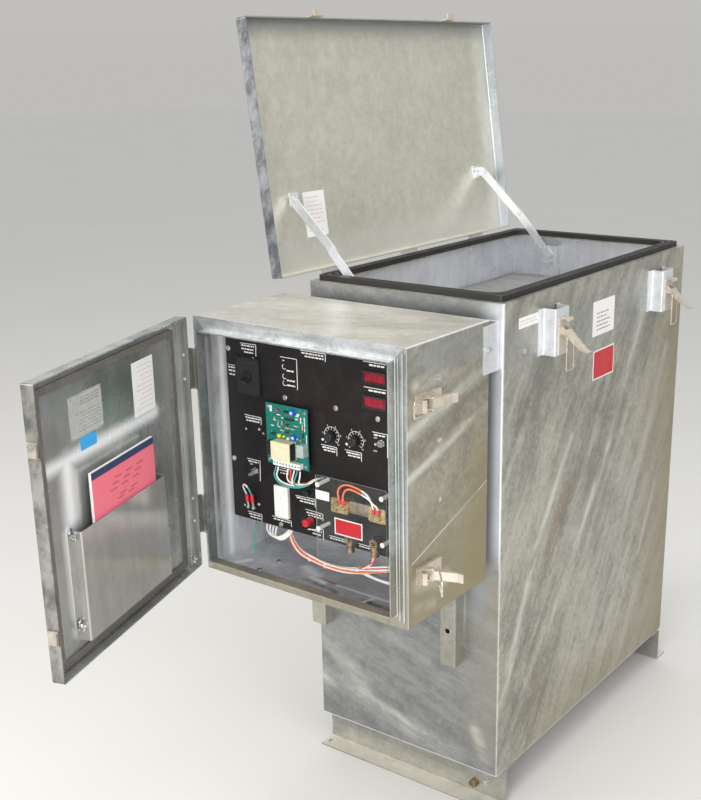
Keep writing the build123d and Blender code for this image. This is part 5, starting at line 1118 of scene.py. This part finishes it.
# Nuts on the door's hinge flange, and screws of the stays' brackets on the lid
bm = bmesh.new()
for z in (1044, 994, 738, 688):
    rod(bm, DOOR.point(2.6, z, -12), DOOR.point(5.6, z, -12), 4.2, sides=6)
piece("door_flange_nuts", bm, [hardware], "door")
bm = bmesh.new()
for y in (809, 826, 54, 71):
    stud(bm, LID, y, 163, (LID_SKIN + 2.8, LID_SKIN + 5), 3.8, tip=3)
piece("lid_bracket_screws", bm, [hardware], "lid", smooth=True)

# Floor and light
floor_graph = Graph("floor_paint", rough=0.8)
floor_tone = floor_graph.mix(floor_graph.noise(1.5, 6.0), tone(208, 206, 201), tone(214, 212, 208))
floor_graph.feed("Base Color", floor_tone)
bm = bmesh.new()
bmesh.ops.create_grid(bm, x_segments=2, y_segments=2, size=30)
floor_mesh = bpy.data.meshes.new("floor")
bm.to_mesh(floor_mesh)
bm.free()
floor_mesh.materials.append(floor_graph.material)
floor = shown("floor", floor_mesh)
floor.location.z = -0.0005

world = bpy.data.worlds.new("studio")
bpy.context.scene.world = world
world.use_nodes = True
sky_nodes = world.node_tree
background = sky_nodes.nodes["Background"]
coordinate = sky_nodes.nodes.new("ShaderNodeTexCoord")
split = sky_nodes.nodes.new("ShaderNodeSeparateXYZ")
ramp = sky_nodes.nodes.new("ShaderNodeValToRGB")
sky_tones = ((0.0, tone(200, 198, 194)), (0.7, tone(240, 242, 245)))
for element, (place, colour) in zip(ramp.color_ramp.elements, sky_tones):
    element.position = place
    element.color = (*colour, 1)
sky_nodes.links.new(coordinate.outputs["Generated"], split.inputs[0])
sky_nodes.links.new(split.outputs["Z"], ramp.inputs[0])
sky_nodes.links.new(ramp.outputs[0], background.inputs["Color"])
background.inputs["Strength"].default_value = 0.9


def lamp(name, place, target, size, power, colour=(1, 1, 1)):
    """Rectangular lamp that faces a target."""
    data = bpy.data.lights.new(name, "AREA")
    data.shape = "RECTANGLE"
    data.size, data.size_y = size
    data.energy = power
    data.color = colour
    made = shown(name, data)
    made.location = place
    made.rotation_mode = "QUATERNION"
    made.rotation_quaternion = (Vector(target) - Vector(place)).to_track_quat("-Z", "Y")


lamp("key", (-2.4, -3.2, 3.4), (0, 0, 0.8), (2.2, 1.6), 88, (1, 0.98, 0.95))
lamp("fill", (3.6, -1.2, 2.4), (0, 0, 0.8), (2.4, 2.0), 55, (0.96, 0.98, 1))
lamp("front", (0.9, -3.4, 1.5), (-0.1, -0.3, 0.8), (1.6, 1.2), 85)
lamp("top", (0.2, 0.6, 4.0), (0, 0, 0.8), (2.6, 2.6), 50)

# Camera of the photograph, its lens and optical centre in the photo's pixels
PHOTO_WIDTH, PHOTO_HEIGHT = 701, 800
FOCAL, CENTRE_X, CENTRE_Y = 1186.8, 381.3, 437.7
SENSOR = 36.0
azimuth, elevation, roll = radians(36.49), radians(17.76), -0.0142
forward = Vector((-sin(azimuth) * cos(elevation), cos(azimuth) * cos(elevation), -sin(elevation)))
level = Vector((cos(azimuth), sin(azimuth), 0))
upward = level.cross(forward)
right = level * cos(roll) + upward * sin(roll)
upward = upward * cos(roll) - level * sin(roll)
camera_data = bpy.data.cameras.new("camera")
camera_data.sensor_width = SENSOR
camera_data.lens = FOCAL * SENSOR / PHOTO_HEIGHT
camera_data.shift_x = (PHOTO_WIDTH / 2 - CENTRE_X) / PHOTO_HEIGHT
camera_data.shift_y = (CENTRE_Y - PHOTO_HEIGHT / 2) / PHOTO_HEIGHT
camera_data.clip_start = 0.05
camera_data.clip_end = 60
camera = shown("camera", camera_data)
turned = Matrix((right, upward, -forward)).transposed().to_4x4()
camera.matrix_world = Matrix.Translation((1.4177, -2.0034, 1.6050)) @ turned
bpy.context.scene.camera = camera
bpy.context.scene.view_settings.view_transform = "Standard"
